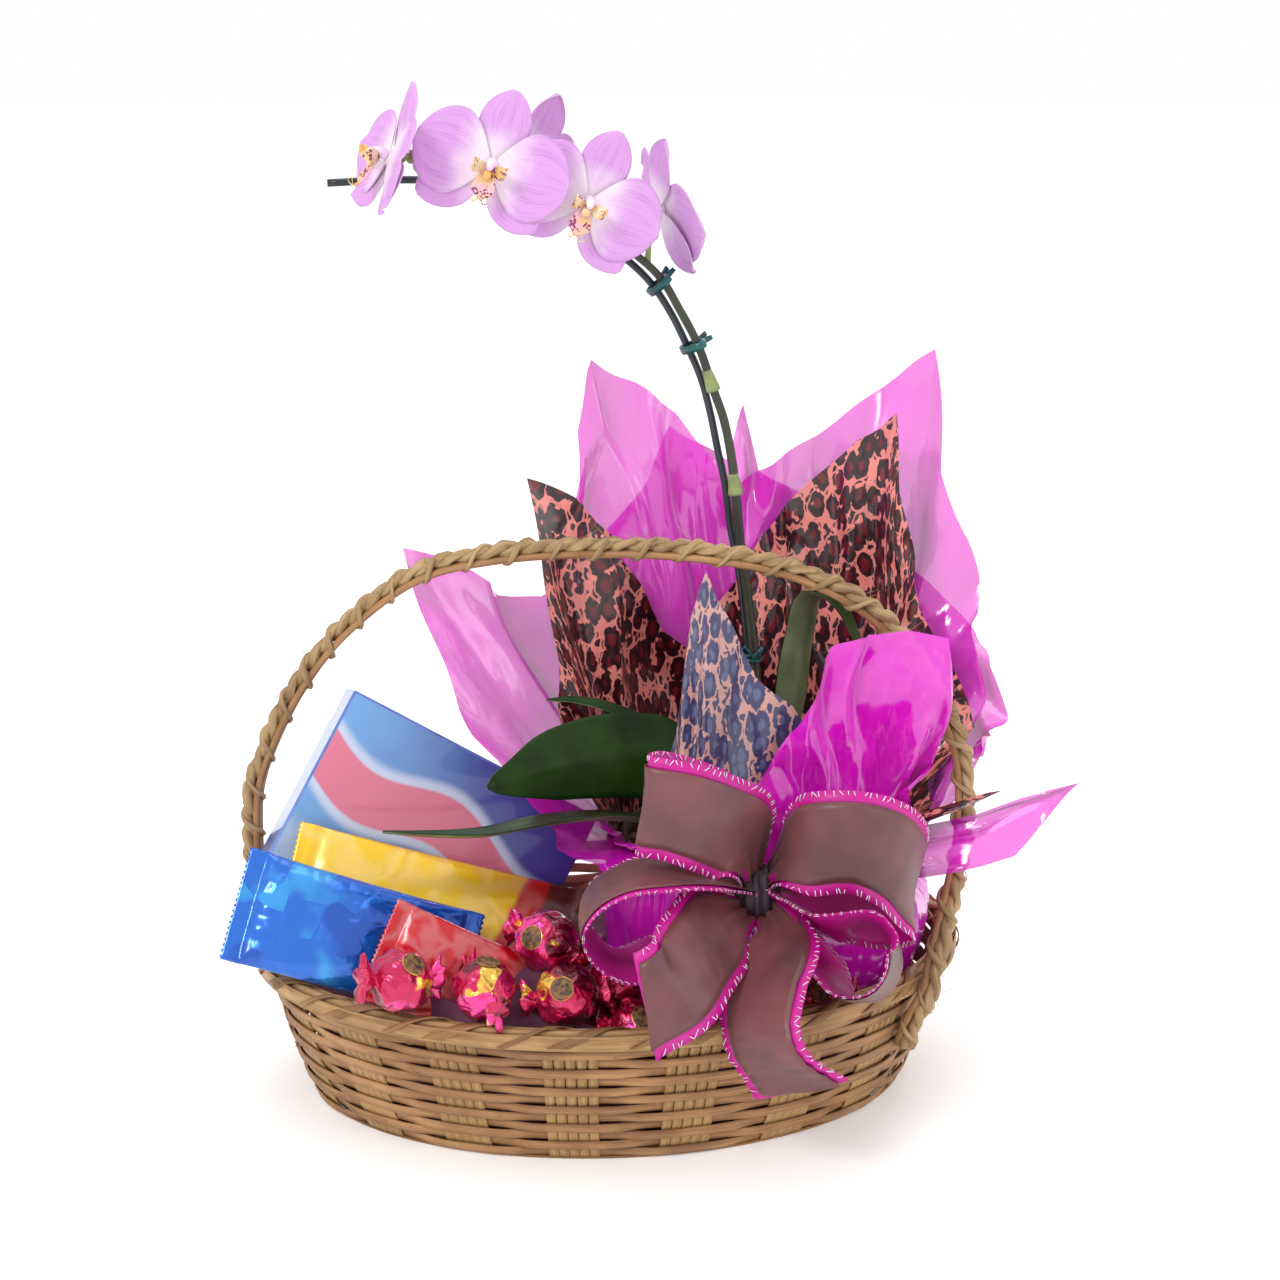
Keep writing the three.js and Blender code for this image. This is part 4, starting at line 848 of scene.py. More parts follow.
@dataclass(frozen=True)
class Foil(Finish):
    """Metallised wrap: a creased surface whose facets change tone. On plain foil the lighter and darker
    facets are painted highlight and painted shade; on a printed wrap they are its pattern.
    """

    bright: tuple = colour(240, 54, 148)
    base: tuple = colour(196, 10, 78)
    shade: tuple = colour(112, 3, 42)
    accent: tuple = colour(232, 186, 70)
    crease: float = 95.0

    def paint(self, t: Tree, place: NodeSocket) -> dict[str, NodeSocket]:
        """Facets take the bright, base or shaded tone; on plain foil the bright and shaded facets are painted
        highlight and painted shade.
        """
        where = self.solid_place(t)
        folds = self.group(t, Effect.CRUMPLE, {"Place": where, "Scale": self.crease, "Fine": 0.4})
        facets = t.add("ShaderNodeTexVoronoi", {"Vector": where, "Scale": self.crease * 0.7})
        own = t.add("ShaderNodeSeparateXYZ", {0: facets.outputs["Color"]})
        broad = t.noise(where, self.crease * 0.5, 2.0)
        tone = t.plus(t.times(own.outputs[0], 0.35), t.times(broad, 0.65))
        # Lighter and darker facets: painted highlight and painted shade on the pink foil, printed pattern on
        # the blue pack.
        tint = t.blend(t.step(tone, 0.36, 0.42), self.shade, self.base)
        tint = t.blend(t.step(tone, 0.58, 0.66), tint, self.bright)
        tint = t.blend(t.step(t.times(own.outputs[1], broad), 0.5, 0.52), tint, self.accent)
        return {"Base Color": tint, "Height": folds.outputs["Height"]}


@dataclass(frozen=True)
class PrintedWrap(Finish):
    """A printed pack: a ground with a second and a third colour field, split along the pack's own length.

    The surface's first direction runs along the pack.
    """

    ground: tuple = colour(242, 196, 16)
    field: tuple = colour(206, 40, 24)
    third: tuple = colour(98, 50, 30)
    split: tuple[float, float] = (0.09, 0.13)
    crease: float = 45.0
    slope: float = 0.3

    def paint(self, t: Tree, place: NodeSocket) -> dict[str, NodeSocket]:
        """Soft-edged fields across the pack, with creases that are painted paler as a painted highlight."""
        parts = t.add("ShaderNodeSeparateXYZ", {0: place})
        wave = t.times(t.noise(place, 22.0, 1.0), 0.02)
        lean = t.times(parts.outputs[1], self.slope)
        along = t.plus(t.plus(parts.outputs[0], lean), wave)
        first, second = self.split
        tint = t.blend(t.step(along, first, first + 0.004), self.ground, self.field)
        tint = t.blend(t.step(along, second, second + 0.003), tint, self.third)
        folds = self.group(t, Effect.CRUMPLE, {"Place": place, "Scale": self.crease, "Fine": 0.4})
        # Paler along the creases: a painted highlight on the folds.
        tone_and_highlight = t.times(folds.outputs["Crease"], 0.12)
        return {"Base Color": t.blend(tone_and_highlight, tint, (0.9, 0.9, 0.9, 1)), "Height": folds.outputs["Height"]}


@dataclass(frozen=True)
class WavePrint(Finish):
    """The flat carton's print: blue that turns violet, with one soft pink band that crosses it in waves."""

    sky: tuple = colour(104, 158, 214)
    deep: tuple = colour(58, 48, 142)
    band: tuple = colour(214, 112, 138)
    pale: tuple = colour(190, 202, 226)
    middle: float = 0.034
    half: float = 0.0145
    swing: float = 0.007
    turns: float = 62.0
    slope: float = 0.16
    faded_from: tuple[float, float] = (0.082, 0.094)

    def paint(self, t: Tree, place: NodeSocket) -> dict[str, NodeSocket]:
        """The first surface direction runs along the carton's top edge, the second down its front."""
        parts = t.add("ShaderNodeSeparateXYZ", {0: place})
        along, down = parts.outputs[0], parts.outputs[1]
        cloud = t.noise(place, 18.0, 3.0)
        across = t.plus(t.times(along, 5.5), t.times(cloud, 0.5))
        tint = t.blend(t.step(across, 0.15, 1.0), self.sky, self.deep)
        wave = t.times(t.maths("SINE", t.times(along, self.turns)), self.swing)
        line = t.plus(t.times(along, self.slope), t.plus(wave, self.middle))
        off = t.maths("ABSOLUTE", t.minus(down, line))
        tint = t.blend(t.step(off, self.half + 0.007, self.half + 0.001), tint, self.pale)
        tint = t.blend(t.step(off, self.half, self.half - 0.002), tint, self.band)
        edge = t.plus(down, t.times(cloud, 0.03))
        tint = t.blend(t.step(edge, *self.faded_from, (0.0, 0.55)), tint, self.pale)
        return {"Base Color": tint, "Height": t.noise(place, 300.0, 2.0)}



# The basket


@dataclass
class Basket:
    """The woven basket: wall, floor and border."""

    rim: tuple[float, float] = (177.0, 130.0)
    base: tuple[float, float] = (155.0, 110.0)
    rim_height: float = 72.0
    wall_top: float = 66.0
    bulge: float = 0.8
    rows: int = 12
    stakes: int = 18
    stake_width: float = 25.0
    wave: float = 1.35
    samples: int = 252

    def point(self, angle: float, z: float, out: float) -> Vector:
        """A point on the basket's oval at a height, moved outward."""
        rise = (max(z, 0.0) / self.rim_height) ** self.bulge
        a, b = (mix(low, high, rise) + out for low, high in zip(self.base, self.rim))
        return Vector((a * math.cos(angle), b * math.sin(angle), z))

    def weave_at(self, angle: float, row: int) -> float:
        """How far a row stands out at an angle: 1 outside a stake, -1 inside it."""
        phase = math.cos(angle / TAU * self.stakes * math.pi) * (-1) ** row
        return math.tanh(2.4 * phase) / math.tanh(2.4)

    def wall(self, bamboo: Material, pale: Material) -> None:
        """Rows of flat splints woven over wide stakes.

        Args:
            bamboo: The material of the rows.
            pale: The material of the stakes, which are the lighter inside of the cane.
        """
        draft = Draft()
        rng = random.Random(11)
        pitch = (self.wall_top - 1.2) / self.rows
        for row in range(self.rows):
            z = 0.9 + (row + 0.5) * pitch
            high = pitch * rng.uniform(0.93, 1.06) / 2
            loops = []
            for n in range(self.samples):
                angle = n / self.samples * TAU
                jog = 0.35 * ripple(angle * 3, row * 7.3) + 0.12 * ripple(angle * 22, row * 3.1)
                out = -1.5 + self.wave * self.weave_at(angle, row) + 0.25 * ripple(angle * 9, row * 5.7)
                lean = 0.35 * ripple(angle * 4, row * 9.1)
                section = []
                for s, o in ((-1, -0.35), (-0.8, 0.55), (0.8, 0.55), (1, -0.35), (0.7, -0.6), (-0.7, -0.6)):
                    section.append(self.point(angle, z + jog + s * high, out + o + lean * s))
                loops.append(section)
            draft.loft(loops, 0, closed=True)
        for stake in range(self.stakes):
            self.stake(draft, stake, rng)
        self.splinters(draft, rng)
        self.foot(draft)
        draft.object("woven_wall", [bamboo, pale], "bamboo", ["basket_wall"])

    def stake(self, draft: Draft, stake: int, rng: random.Random) -> None:
        """One stake: narrow upright slivers side by side, bent slightly by the rows that they pass."""
        middle = stake / self.stakes * TAU
        slivers = 5
        girth = 2 * math.pi * math.sqrt((self.rim[0] ** 2 + self.rim[1] ** 2) / 2)
        for sliver in range(slivers):
            offset = (sliver - (slivers - 1) / 2) / slivers * self.stake_width
            angle = middle + offset / girth * TAU
            half = self.stake_width / slivers * 0.47
            heights = [mix(0.6, self.wall_top - 0.4, k / 24) for k in range(25)]
            line, sides = [], []
            for z in heights:
                row = clamp((z - 0.9) / ((self.wall_top - 1.2) / self.rows) - 0.5, 0, self.rows - 1)
                sway = -self.weave_at(middle, round(row)) * 0.35
                at = self.point(angle, z, -1.75 + sway + rng.uniform(-0.06, 0.06))
                ahead = self.point(angle + 0.01, z, -1.75) - self.point(angle - 0.01, z, -1.75)
                line.append(at)
                sides.append(ahead.normalized() * half)
            draft.ribbon(line, sides, 0.8, 1)

    def splinters(self, draft: Draft, rng: random.Random) -> None:
        """Frayed ends that stand off the wall."""
        for _ in range(110):
            angle, z = rng.uniform(0, TAU), rng.uniform(4, self.wall_top - 3)
            start = self.point(angle, z, 0.1)
            turn = rng.choice((-1, 1)) * rng.uniform(0.012, 0.03)
            end = self.point(angle + turn, z + rng.uniform(-4, 4), rng.uniform(0.9, 3.2))
            bend = start.lerp(end, 0.5) + Vector((0, 0, rng.uniform(-0.8, 0.8)))
            draft.tube(spline([start, bend, end], 3), lambda k: 0.22 * (1 - 0.8 * k), 3, 1)

    def foot(self, draft: Draft) -> None:
        """The first thin splint under the lowest row."""
        loops = []
        for n in range(120):
            angle = n / 120 * TAU
            places = ((0.15, -0.6), (1.1, -0.4), (1.1, -2.8), (0.15, -2.8))
            loops.append([self.point(angle, z, out) for z, out in places])
        draft.loft(loops, 0, closed=True)

    def floor(self, bamboo: Material, pale: Material) -> None:
        """The oval floor: flat splints both ways, in a plain weave, cut to the oval."""
        draft = Draft()
        inset = 5.4
        a, b = self.base[0] - inset, self.base[1] - inset
        pitch = 9.0
        for axis, (reach, span) in enumerate(((a, b), (b, a))):
            count = int(span / pitch)
            for n in range(-count, count + 1):
                place = n * pitch
                end = reach * math.sqrt(max(0.0, 1 - (place / span) ** 2))
                if end < pitch:
                    continue
                steps = max(4, int(end * 2 / 4.5))
                line = []
                for s in range(steps + 1):
                    x = mix(-end, end, s / steps)
                    up = 1 if (n + round(x / pitch)) % 2 == axis else -1
                    lift = 2.1 + up * 0.95
                    line.append(Vector((x, place, lift)) if axis == 0 else Vector((place, x, lift)))
                side = Vector((0, 1, 0)) if axis == 0 else Vector((1, 0, 0))
                draft.ribbon(line, [side * pitch * 0.46] * len(line), 0.9, axis)
        ring = [
            [
                Vector(((a + o) * math.cos(t), (b + o) * math.sin(t), z))
                for o, z in ((0, 0.0), (0, 4.2), (-7, 4.2), (-7, 0.0))
            ]
            for t in circle(90)
        ]
        draft.loft(ring, 0, closed=True)
        draft.object("woven_floor", [bamboo, pale], "bamboo", ["basket_floor"])

    def border(self, bamboo: Material, golden: Material) -> None:
        """The border: canes and a flat splint on each side, wrapped by a slanting splint."""
        draft = Draft()
        centre = 72.9
        steps = 200
        canes = ((-2.9, -2.3, 2.2), (2.5, -2.0, 2.1), (0.1, 2.3, 2.3), (-1.0, -0.2, 2.2))
        for index, (out, up, radius) in enumerate(canes):
            loops = []
            for n in range(steps):
                angle = n / steps * TAU
                wobble = 0.3 * ripple(angle * 5, index * 4.0)
                loops.append(
                    [
                        self.point(angle, self.rim_height, out + wobble + radius * math.cos(t)).xy.to_3d()
                        + Vector((0, 0, centre + up + wobble + radius * math.sin(t)))
                        for t in circle(6)
                    ]
                )
            draft.loft(loops, 0, closed=True)
        for side in (-1, 1):
            loops = []
            for n in range(steps):
                angle = n / steps * TAU
                wobble = 0.25 * ripple(angle * 6, side * 9.0)
                section = ((side * 4.6, -4.4), (side * 5.3, -4.2), (side * 5.4, 3.2), (side * 4.7, 3.5))
                loops.append(
                    [
                        self.point(angle, self.rim_height, out + wobble).xy.to_3d()
                        + Vector((0, 0, centre + up))
                        for out, up in section
                    ]
                )
            draft.loft(loops, 0, closed=True)
        self.wrap(draft, centre)
        draft.object("wrapped_border", [bamboo, golden], "bamboo", ["rim_braid"])

    def wrap(self, draft: Draft, centre: float) -> None:
        """The splint wound round the border, one turn for each stake, with a second thin one over it."""
        steps = self.stakes * 22
        for strand, (half, grow, shift) in enumerate(((5.2, 0.0, 0.0), (2.1, 0.5, 2.6))):
            line, sides = [], []
            for n in range(steps + 1):
                angle = n / steps * TAU * 0.9985
                turn = angle * self.stakes + shift
                squash = 1.0 + 0.04 * ripple(angle * 11, strand * 5.0)
                out, up = (6.05 + grow) * math.cos(turn) * squash, (5.35 + grow) * math.sin(turn) * squash
                line.append(self.point(angle, self.rim_height, out).xy.to_3d() + Vector((0, 0, centre + up)))
                ahead = self.point(angle + 0.01, self.rim_height, out)
                sides.append((ahead - self.point(angle - 0.01, self.rim_height, out)).normalized() * half)
            draft.ribbon(line, sides, 0.55, 1)


HOOP = [
    [163.5, 38, -26], [167.5, 50, -26], [172, 60, -26.5], [177.6, 72, -27], [178.2, 84, -26],
    [179.5, 98, -23], [181.5, 116, -18.5], [184, 130, -14.8], [185, 150, -14], [183.5, 178, -14],
    [177, 198, -14], [162, 226, -14], [142, 248.5, -14], [119.5, 263, -14], [89.5, 273.5, -14],
    [45, 279, -14], [0, 279, -14], [-50, 273.8, -14], [-89.3, 262.8, -14], [-127.3, 234, -14],
    [-153, 202, -14], [-171.2, 167, -14], [-178.5, 145, -14], [-180.2, 119.5, -14], [-179.5, 98, -14],
    [-177.5, 82, -14], [-176.9, 72, -14], [-171, 60, -14], [-166.8, 50, -14], [-161.5, 38, -14],
]


@dataclass
class Handle:
    """The hoop handle: a bent cane strip with a straw rope tied along its outer side."""

    shift: float = -6.0
    turn: float = -14.0
    feet_below: float = 125.0
    wide: float = 8.5
    thick: float = 3.6
    lift: float = 5.2
    pitch: float = 22.0

    def frames(self, steps: int) -> list[Frame]:
        """Frames along the hoop: across lies level in the strip's width, other points outward."""
        path = []
        for distance, z, turn in HOOP:
            t = math.radians(turn)
            path.append(Vector((self.shift + distance * math.cos(t), distance * math.sin(t), z)))
        line = spaced(spline(path), steps)
        plane = Vector((-math.sin(math.radians(self.turn)), math.cos(math.radians(self.turn)), 0))
        out = []
        for f in frames_along(line, Vector((0, 1, 0))):
            down = clamp((self.feet_below - f.at.z) / (self.feet_below - 72.0))
            along = Vector((-f.at.y / 130.0**2, f.at.x / 177.0**2, 0)) * (1 if f.at.x > 0 else -1)
            side = plane.lerp(along.normalized(), down).normalized()
            outward = side.cross(f.tangent).normalized()
            if outward.dot(f.at - Vector((self.shift, 0, 130))) < 0:
                outward.negate()
            out.append(Frame(f.at, f.tangent, side, outward))
        return out

    def strip(self, cane: Material) -> None:
        """The bent strip, with rounded edges and an uneven width."""
        draft = Draft()
        loops = []
        for n, f in enumerate(self.frames(190)):
            half = self.wide / 2 * (1 + 0.05 * ripple(n * 0.11))
            section = ((-1, -0.5), (-0.8, -1), (0.8, -1), (1, -0.5), (1, 0.5), (0.8, 1), (-0.8, 1), (-1, 0.5))
            loops.append([f.at + f.across * s * half + f.other * o * self.thick / 2 for s, o in section])
        draft.loft(loops)
        draft.object("handle_strip", [cane], "bamboo", ["handle_hoop"])

    def strand(
        self,
        draft: Draft,
        frames: Sequence[Frame],
        place: Callable[[float], tuple[float, float]],
        radius: float,
        seed: int,
    ) -> None:
        """One bundle of straw along the handle.

        Args:
            draft: The mesh that it joins.
            frames: The frames along the handle.
            place: From a frame number, how far the bundle lies across the strip and out of it.
            radius: The bundle's radius.
            seed: What makes this bundle's unevenness its own.
        """
        line = []
        for n, f in enumerate(frames):
            s, o = place(n)
            line.append(f.at + f.across * s + f.other * o)
        loops = []
        for n, f in enumerate(frames_along(line, frames[0].other)):
            size = radius * (1 + 0.3 * ripple(n * 0.13, seed * 3.7) + 0.12 * ripple(n * 0.5, seed * 2.1))
            loop = []
            for j in range(9):
                t = j / 9 * TAU
                ridge = size * (1 + 0.17 * math.cos(4 * t + n * 0.3 + seed))
                loop.append(f.at + f.across * ridge * math.cos(t) + f.other * ridge * math.sin(t))
            loops.append(loop)
        draft.loft(loops)

    def rope(self, straw: Material) -> None:
        """Two twisted bundles on the outside and one wound round strip and rope, with loose fibres."""
        draft = Draft()
        steps = 620
        frames = self.frames(steps)
        length = sum((b.at - a.at).length for a, b in zip(frames, frames[1:]))
        turn = TAU * length / self.pitch / steps
        for index in range(2):
            phase = index * math.pi
            self.strand(
                draft,
                frames,
                lambda n, p=phase: (
                    1.9 * math.cos(n * turn + p) + 0.7 * ripple(n * 0.03, p),
                    self.lift - 0.8 + 1.5 * math.sin(n * turn + p) + 0.5 * ripple(n * 0.04, p + 5),
                ),
                2.45,
                index,
            )
        low, high = -self.thick / 2 - 0.9, self.lift + 2.6

        def winding(n: float) -> tuple[float, float]:
            """The wound bundle: a flat oval round strip and rope."""
            t = n * turn + 0.9 * ripple(n * 0.02, 3.0)
            return (4.9 * math.cos(t), mix(low, high, 0.5) + (high - low) / 2 * math.sin(t))

        self.strand(draft, frames, winding, 1.35, 5)
        self.fibres(draft, frames)
        draft.object("handle_straw_rope", [straw], "straw", ["handle_rope"])

    def fibres(self, draft: Draft, frames: Sequence[Frame]) -> None:
        """Loose fibres that stand off the rope."""
        rng = random.Random(5)
        for _ in range(620):
            f = frames[rng.randrange(20, len(frames) - 20)]
            away = f.across * rng.uniform(-1, 1) + f.other * rng.uniform(-0.5, 1)
            away += f.tangent * rng.uniform(-1, 1)
            away.normalize()
            start = f.at + f.other * rng.uniform(2, 6)
            long = 2.5 + 11 * rng.random() ** 2.2
            side = Vector((rng.uniform(-1, 1), rng.uniform(-1, 1), rng.uniform(-1, 1))) * long * 0.3
            line = spline([start, start + away * long * 0.5 + side * 0.5, start + away * long + side], 3)
            draft.tube(line, lambda k: 0.24 * (1 - 0.7 * k), 3)


# The plant


LEAF_AXES = {
    "leaf_1": ([[72, 6, 138], [50, 2, 160], [31, -5, 171], [13, -12, 176], [-8, -20, 178], [-29, -28, 177],
                [-48, -36, 174], [-64, -41, 171]], 22.0, (0, 0.36, 0.93), 0.16),
    "leaf_2": ([[70, 0, 131], [44, -13, 139], [16, -21, 144], [-6, -30, 149], [-33, -38, 150],
                [-68, -44, 147], [-98, -48, 150], [-116, -50, 153]], 14.0, (0.1, -0.95, 0.27), 0.2),
    "leaf_3": ([[87, 12, 133], [98, 21, 180], [104, 26, 222], [110, 25, 248], [120, 19, 243], [129, 10, 228],
                [134, 4, 212]], 15.0, (0.55, 0.55, 0.62), 0.15),
    "leaf_4": ([[72, 14, 138], [45, 14, 168], [20, 9, 188], [0, 6, 198], [-18, 4, 202], [-31, 2, 202]], 7.0,
               (0, 0.98, 0.18), 0.2),
}

TURNED_OVER = ("leaf_2", "leaf_3")

SPIKE_ROUTE = [
    [80, 12, 138], [80, 16, 170], [79, 17, 199], [74, 17, 248], [70.5, 17, 270], [67, 16, 304], [64, 15, 326],
    [60, 14, 344], [55, 14, 358], [47, 13, 381], [37, 12, 400], [28, 10, 415], [14, 10, 428], [-2, 10, 438],
    [-27, 9, 452], [-48, 8, 461], [-65, 6, 467], [-80, 2, 468], [-88, -4, 473], [-93, -10, 476],
]
WIRE_ROUTE = [
    [79, 30, 60], [79.5, 28, 130], [77, 23.5, 198], [69, 22.5, 268], [66, 22, 281], [62, 21.5, 309],
    [58, 20.5, 327], [54, 19.5, 346], [49, 19, 364], [42, 18.5, 380], [33, 17, 398], [21, 16.5, 415],
    [-2, 16.5, 434], [-26, 16, 447], [-48, 17, 457], [-70, 20, 461], [-87, 23, 463], [-110, 24, 463],
    [-134, 24, 462],
]


@dataclass
class Bloom:
    """One flower: where it sits, the way it faces, its roll, its pedicel's foot and how cupped it is."""

    number: int
    at: tuple[float, float, float]
    face: tuple[float, float, float]
    roll: float
    foot: tuple[float, float, float]
    cup: float
    sepal: tuple[float, float] = (37.0, 12.5)
    petal: tuple[float, float] = (38.0, 21.0)

    def turn(self) -> Matrix:
        """The matrix that takes the flower's own axes to its place; its own Z faces outward."""
        outward = Vector(self.face).normalized()
        right = Vector((0, 0, 1)).cross(outward).normalized()
        up = outward.cross(right)
        basis = Matrix((right, up, outward)).transposed().to_4x4()
        return Matrix.Translation(Vector(self.at)) @ basis @ Matrix.Rotation(math.radians(self.roll), 4, "Z")

    def tepal(
        self, draft: Draft, long: float, half: float, degrees: float, lift: float, tip: float, seed: float
    ) -> None:
        """Adds one petal or sepal.

        Args:
            draft: The mesh that it joins.
            long: How far it reaches from the middle.
            half: Half of its greatest width.
            degrees: The way that it points in the flower's plane.
            lift: How far its root lies in front of the hub's middle.
            tip: How pointed its end is: 0.5 is round.
            seed: What makes its ripples its own.
        """
        rows, columns = 18, 14
        grid = []
        for i in range(rows + 1):
            k = 1 - (1 - i / rows) ** 1.5
            reach = mix(1.5, long, k)
            if k < 0.56:
                share = mix(0.14, 1, math.sin(math.pi / 2 * k / 0.56))
            else:
                share = max(0.03, 1 - ((k - 0.56) / 0.44) ** 2) ** tip
            width = half * share
            row = []
            for j in range(columns + 1):
                t = j / columns * 2 - 1
                rise = lift + self.cup * k * k - 1.8 * abs(t) ** 1.5 * k
                frill = 0.9 * k * abs(t) * ripple(k * 3.1 + seed, t * 2.3)
                rise += frill + 0.5 * ripple(k * 2 + seed, t, 4.0) * k
                ridge = 0.35 * math.exp(-((t / 0.12) ** 2)) * (1 - k)
                round_end = width * 0.08 * abs(t)
                row.append(Vector((reach - round_end, t * width, rise + ridge)))
            grid.append(row)
        first = len(draft.points)
        draft.blade(grid, 0.7)
        draft.moved(Matrix.Rotation(math.radians(degrees), 4, "Z"), first)

    def tepals(self, petal: Material) -> None:
        """Three sepals behind two broad petals, and the hub that joins them."""
        draft = Draft()
        seed = self.number * 5.3
        for n, degrees in enumerate((90, 218, 322)):
            long, half = self.sepal
            self.tepal(draft, long, half, degrees, -1.6, 0.62, seed + n)
        for n, degrees in enumerate((3, 177)):
            long, half = self.petal
            self.tepal(draft, long, half, degrees, 0.6, 0.5, seed + 7 + n)
        self.ball(draft, Vector((0, 0, -1.2)), (4.2, 4.2, 3.4))
        draft.moved(self.turn())
        draft.object(f"flower_{self.number}", [petal], "petal", [f"bloom_{self.number}"])

    @staticmethod
    def ball(draft: Draft, centre: Vector, size: tuple[float, float, float], finish: int = 0) -> None:
        """Adds a closed rounded lump."""
        loops = []
        for i in range(1, 8):
            t = i / 8 * math.pi
            spread = math.sin(t)
            ring = []
            for j in range(12):
                a = j / 12 * TAU
                x, y = size[0] * spread * math.cos(a), size[1] * spread * math.sin(a)
                ring.append(centre + Vector((x, y, size[2] * math.cos(t))))
            loops.append(ring)
        draft.loft(loops, finish)

    def lobe(
        self, draft: Draft, rows: Sequence[Sequence[Sequence[float]]], finish: int, curl: float
    ) -> None:
        """Adds one lobe of the lip, smoothed from a few rows of its outline."""
        lines = [spaced(spline([Vector(row[n]) for row in rows], 8), 14) for n in range(len(rows[0]))]
        grid = []
        for i in range(15):
            left, right = lines[0][i], lines[-1][i]
            row = []
            for j in range(9):
                t = j / 8
                bow = math.sin(math.pi * t) * curl * (left - right).length
                row.append(left.lerp(right, t) + Vector((0, 0, bow)))
            grid.append(row)
        draft.blade(grid, 0.7, finish, finish)

    def lip(self, yellow: Material, pink: Material, white: Material) -> None:
        """The lip: a pointed middle lobe with two curled threads, two upright side lobes and the column."""
        draft = Draft()
        middle = (
            ((-2, -1, 6), (2, -1, 6)), ((-4.2, -5, 7.8), (4.2, -5, 7.8)), ((-5.6, -9, 9), (5.6, -9, 9)),
            ((-6.3, -13, 10.5), (6.3, -13, 10.5)), ((-3.0, -16, 11.2), (3.0, -16, 11.2)),
            ((-0.6, -18, 11.5), (0.6, -18, 11.5)),
        )
        self.lobe(draft, middle, 1, -0.12)
        for s in (-1, 1):
            side = (
                ((s * 0.6, -2.6, 5.6), (s * 0.9, -0.4, 6.2)), ((s * 4.2, -4.6, 7.2), (s * 4.8, 1.6, 8.8)),
                ((s * 7.2, -5.4, 9.4), (s * 7.9, 1.9, 11.2)), ((s * 8.6, -4.2, 12.4), (s * 9.2, 2.2, 13.6)),
                ((s * 8.6, -2.2, 15.0), (s * 8.9, 0.8, 15.6)),
            )
            self.lobe(draft, side, 0, 0.12 * s)
            thread = ((0.8, -17.6, 11.5), (2.6, -19.6, 13.2), (4.6, -18.4, 15.6), (3.4, -15.8, 16.4))
            curled = spline(vectors([(s * x, y, z) for x, y, z in thread]))
            draft.tube(spaced(curled, 12), lambda k: 0.42 * (1 - 0.7 * k), 6, 0)
        self.ball(draft, Vector((0, -4.6, 9.6)), (2.4, 2.6, 1.7), 0)
        column = spaced(spline(vectors([(0, 0.8, 2.2), (0, 1.6, 5.0), (0, 1.4, 8.4), (0, 0.2, 11.4)])), 12)
        draft.tube(column, lambda k: 1.9 + 1.0 * math.sin(math.pi * min(1, 0.25 + k * 0.72)), 10, 2)
        self.ball(draft, Vector((0, -0.3, 11.6)), (2.0, 2.0, 1.4), 2)
        draft.moved(self.turn() @ Matrix.Scale(0.9, 4))
        draft.object(f"flower_lip_{self.number}", [yellow, pink, white], "lip", [f"lip_{self.number}"])


BLOOMS = (
    Bloom(1, (-104, -20, 478), (-0.88, -0.22, 0.38), 0, (-91, -8, 475), 5),
    Bloom(2, (-57, -29, 475), (-0.06, -0.99, 0.1), -20, (-57, 7, 464), 2),
    Bloom(3, (-11, -18, 456), (0.1, -0.98, 0.02), -28, (-4, 10, 438), 2),
    Bloom(4, (31, 32, 447), (0.95, 0.25, 0.2), 20, (21, 10, 421.5), 6),
    Bloom(5, (-38, 44, 470), (-0.55, 0.75, 0.35), 25, (-34, 10, 455), 4),
)


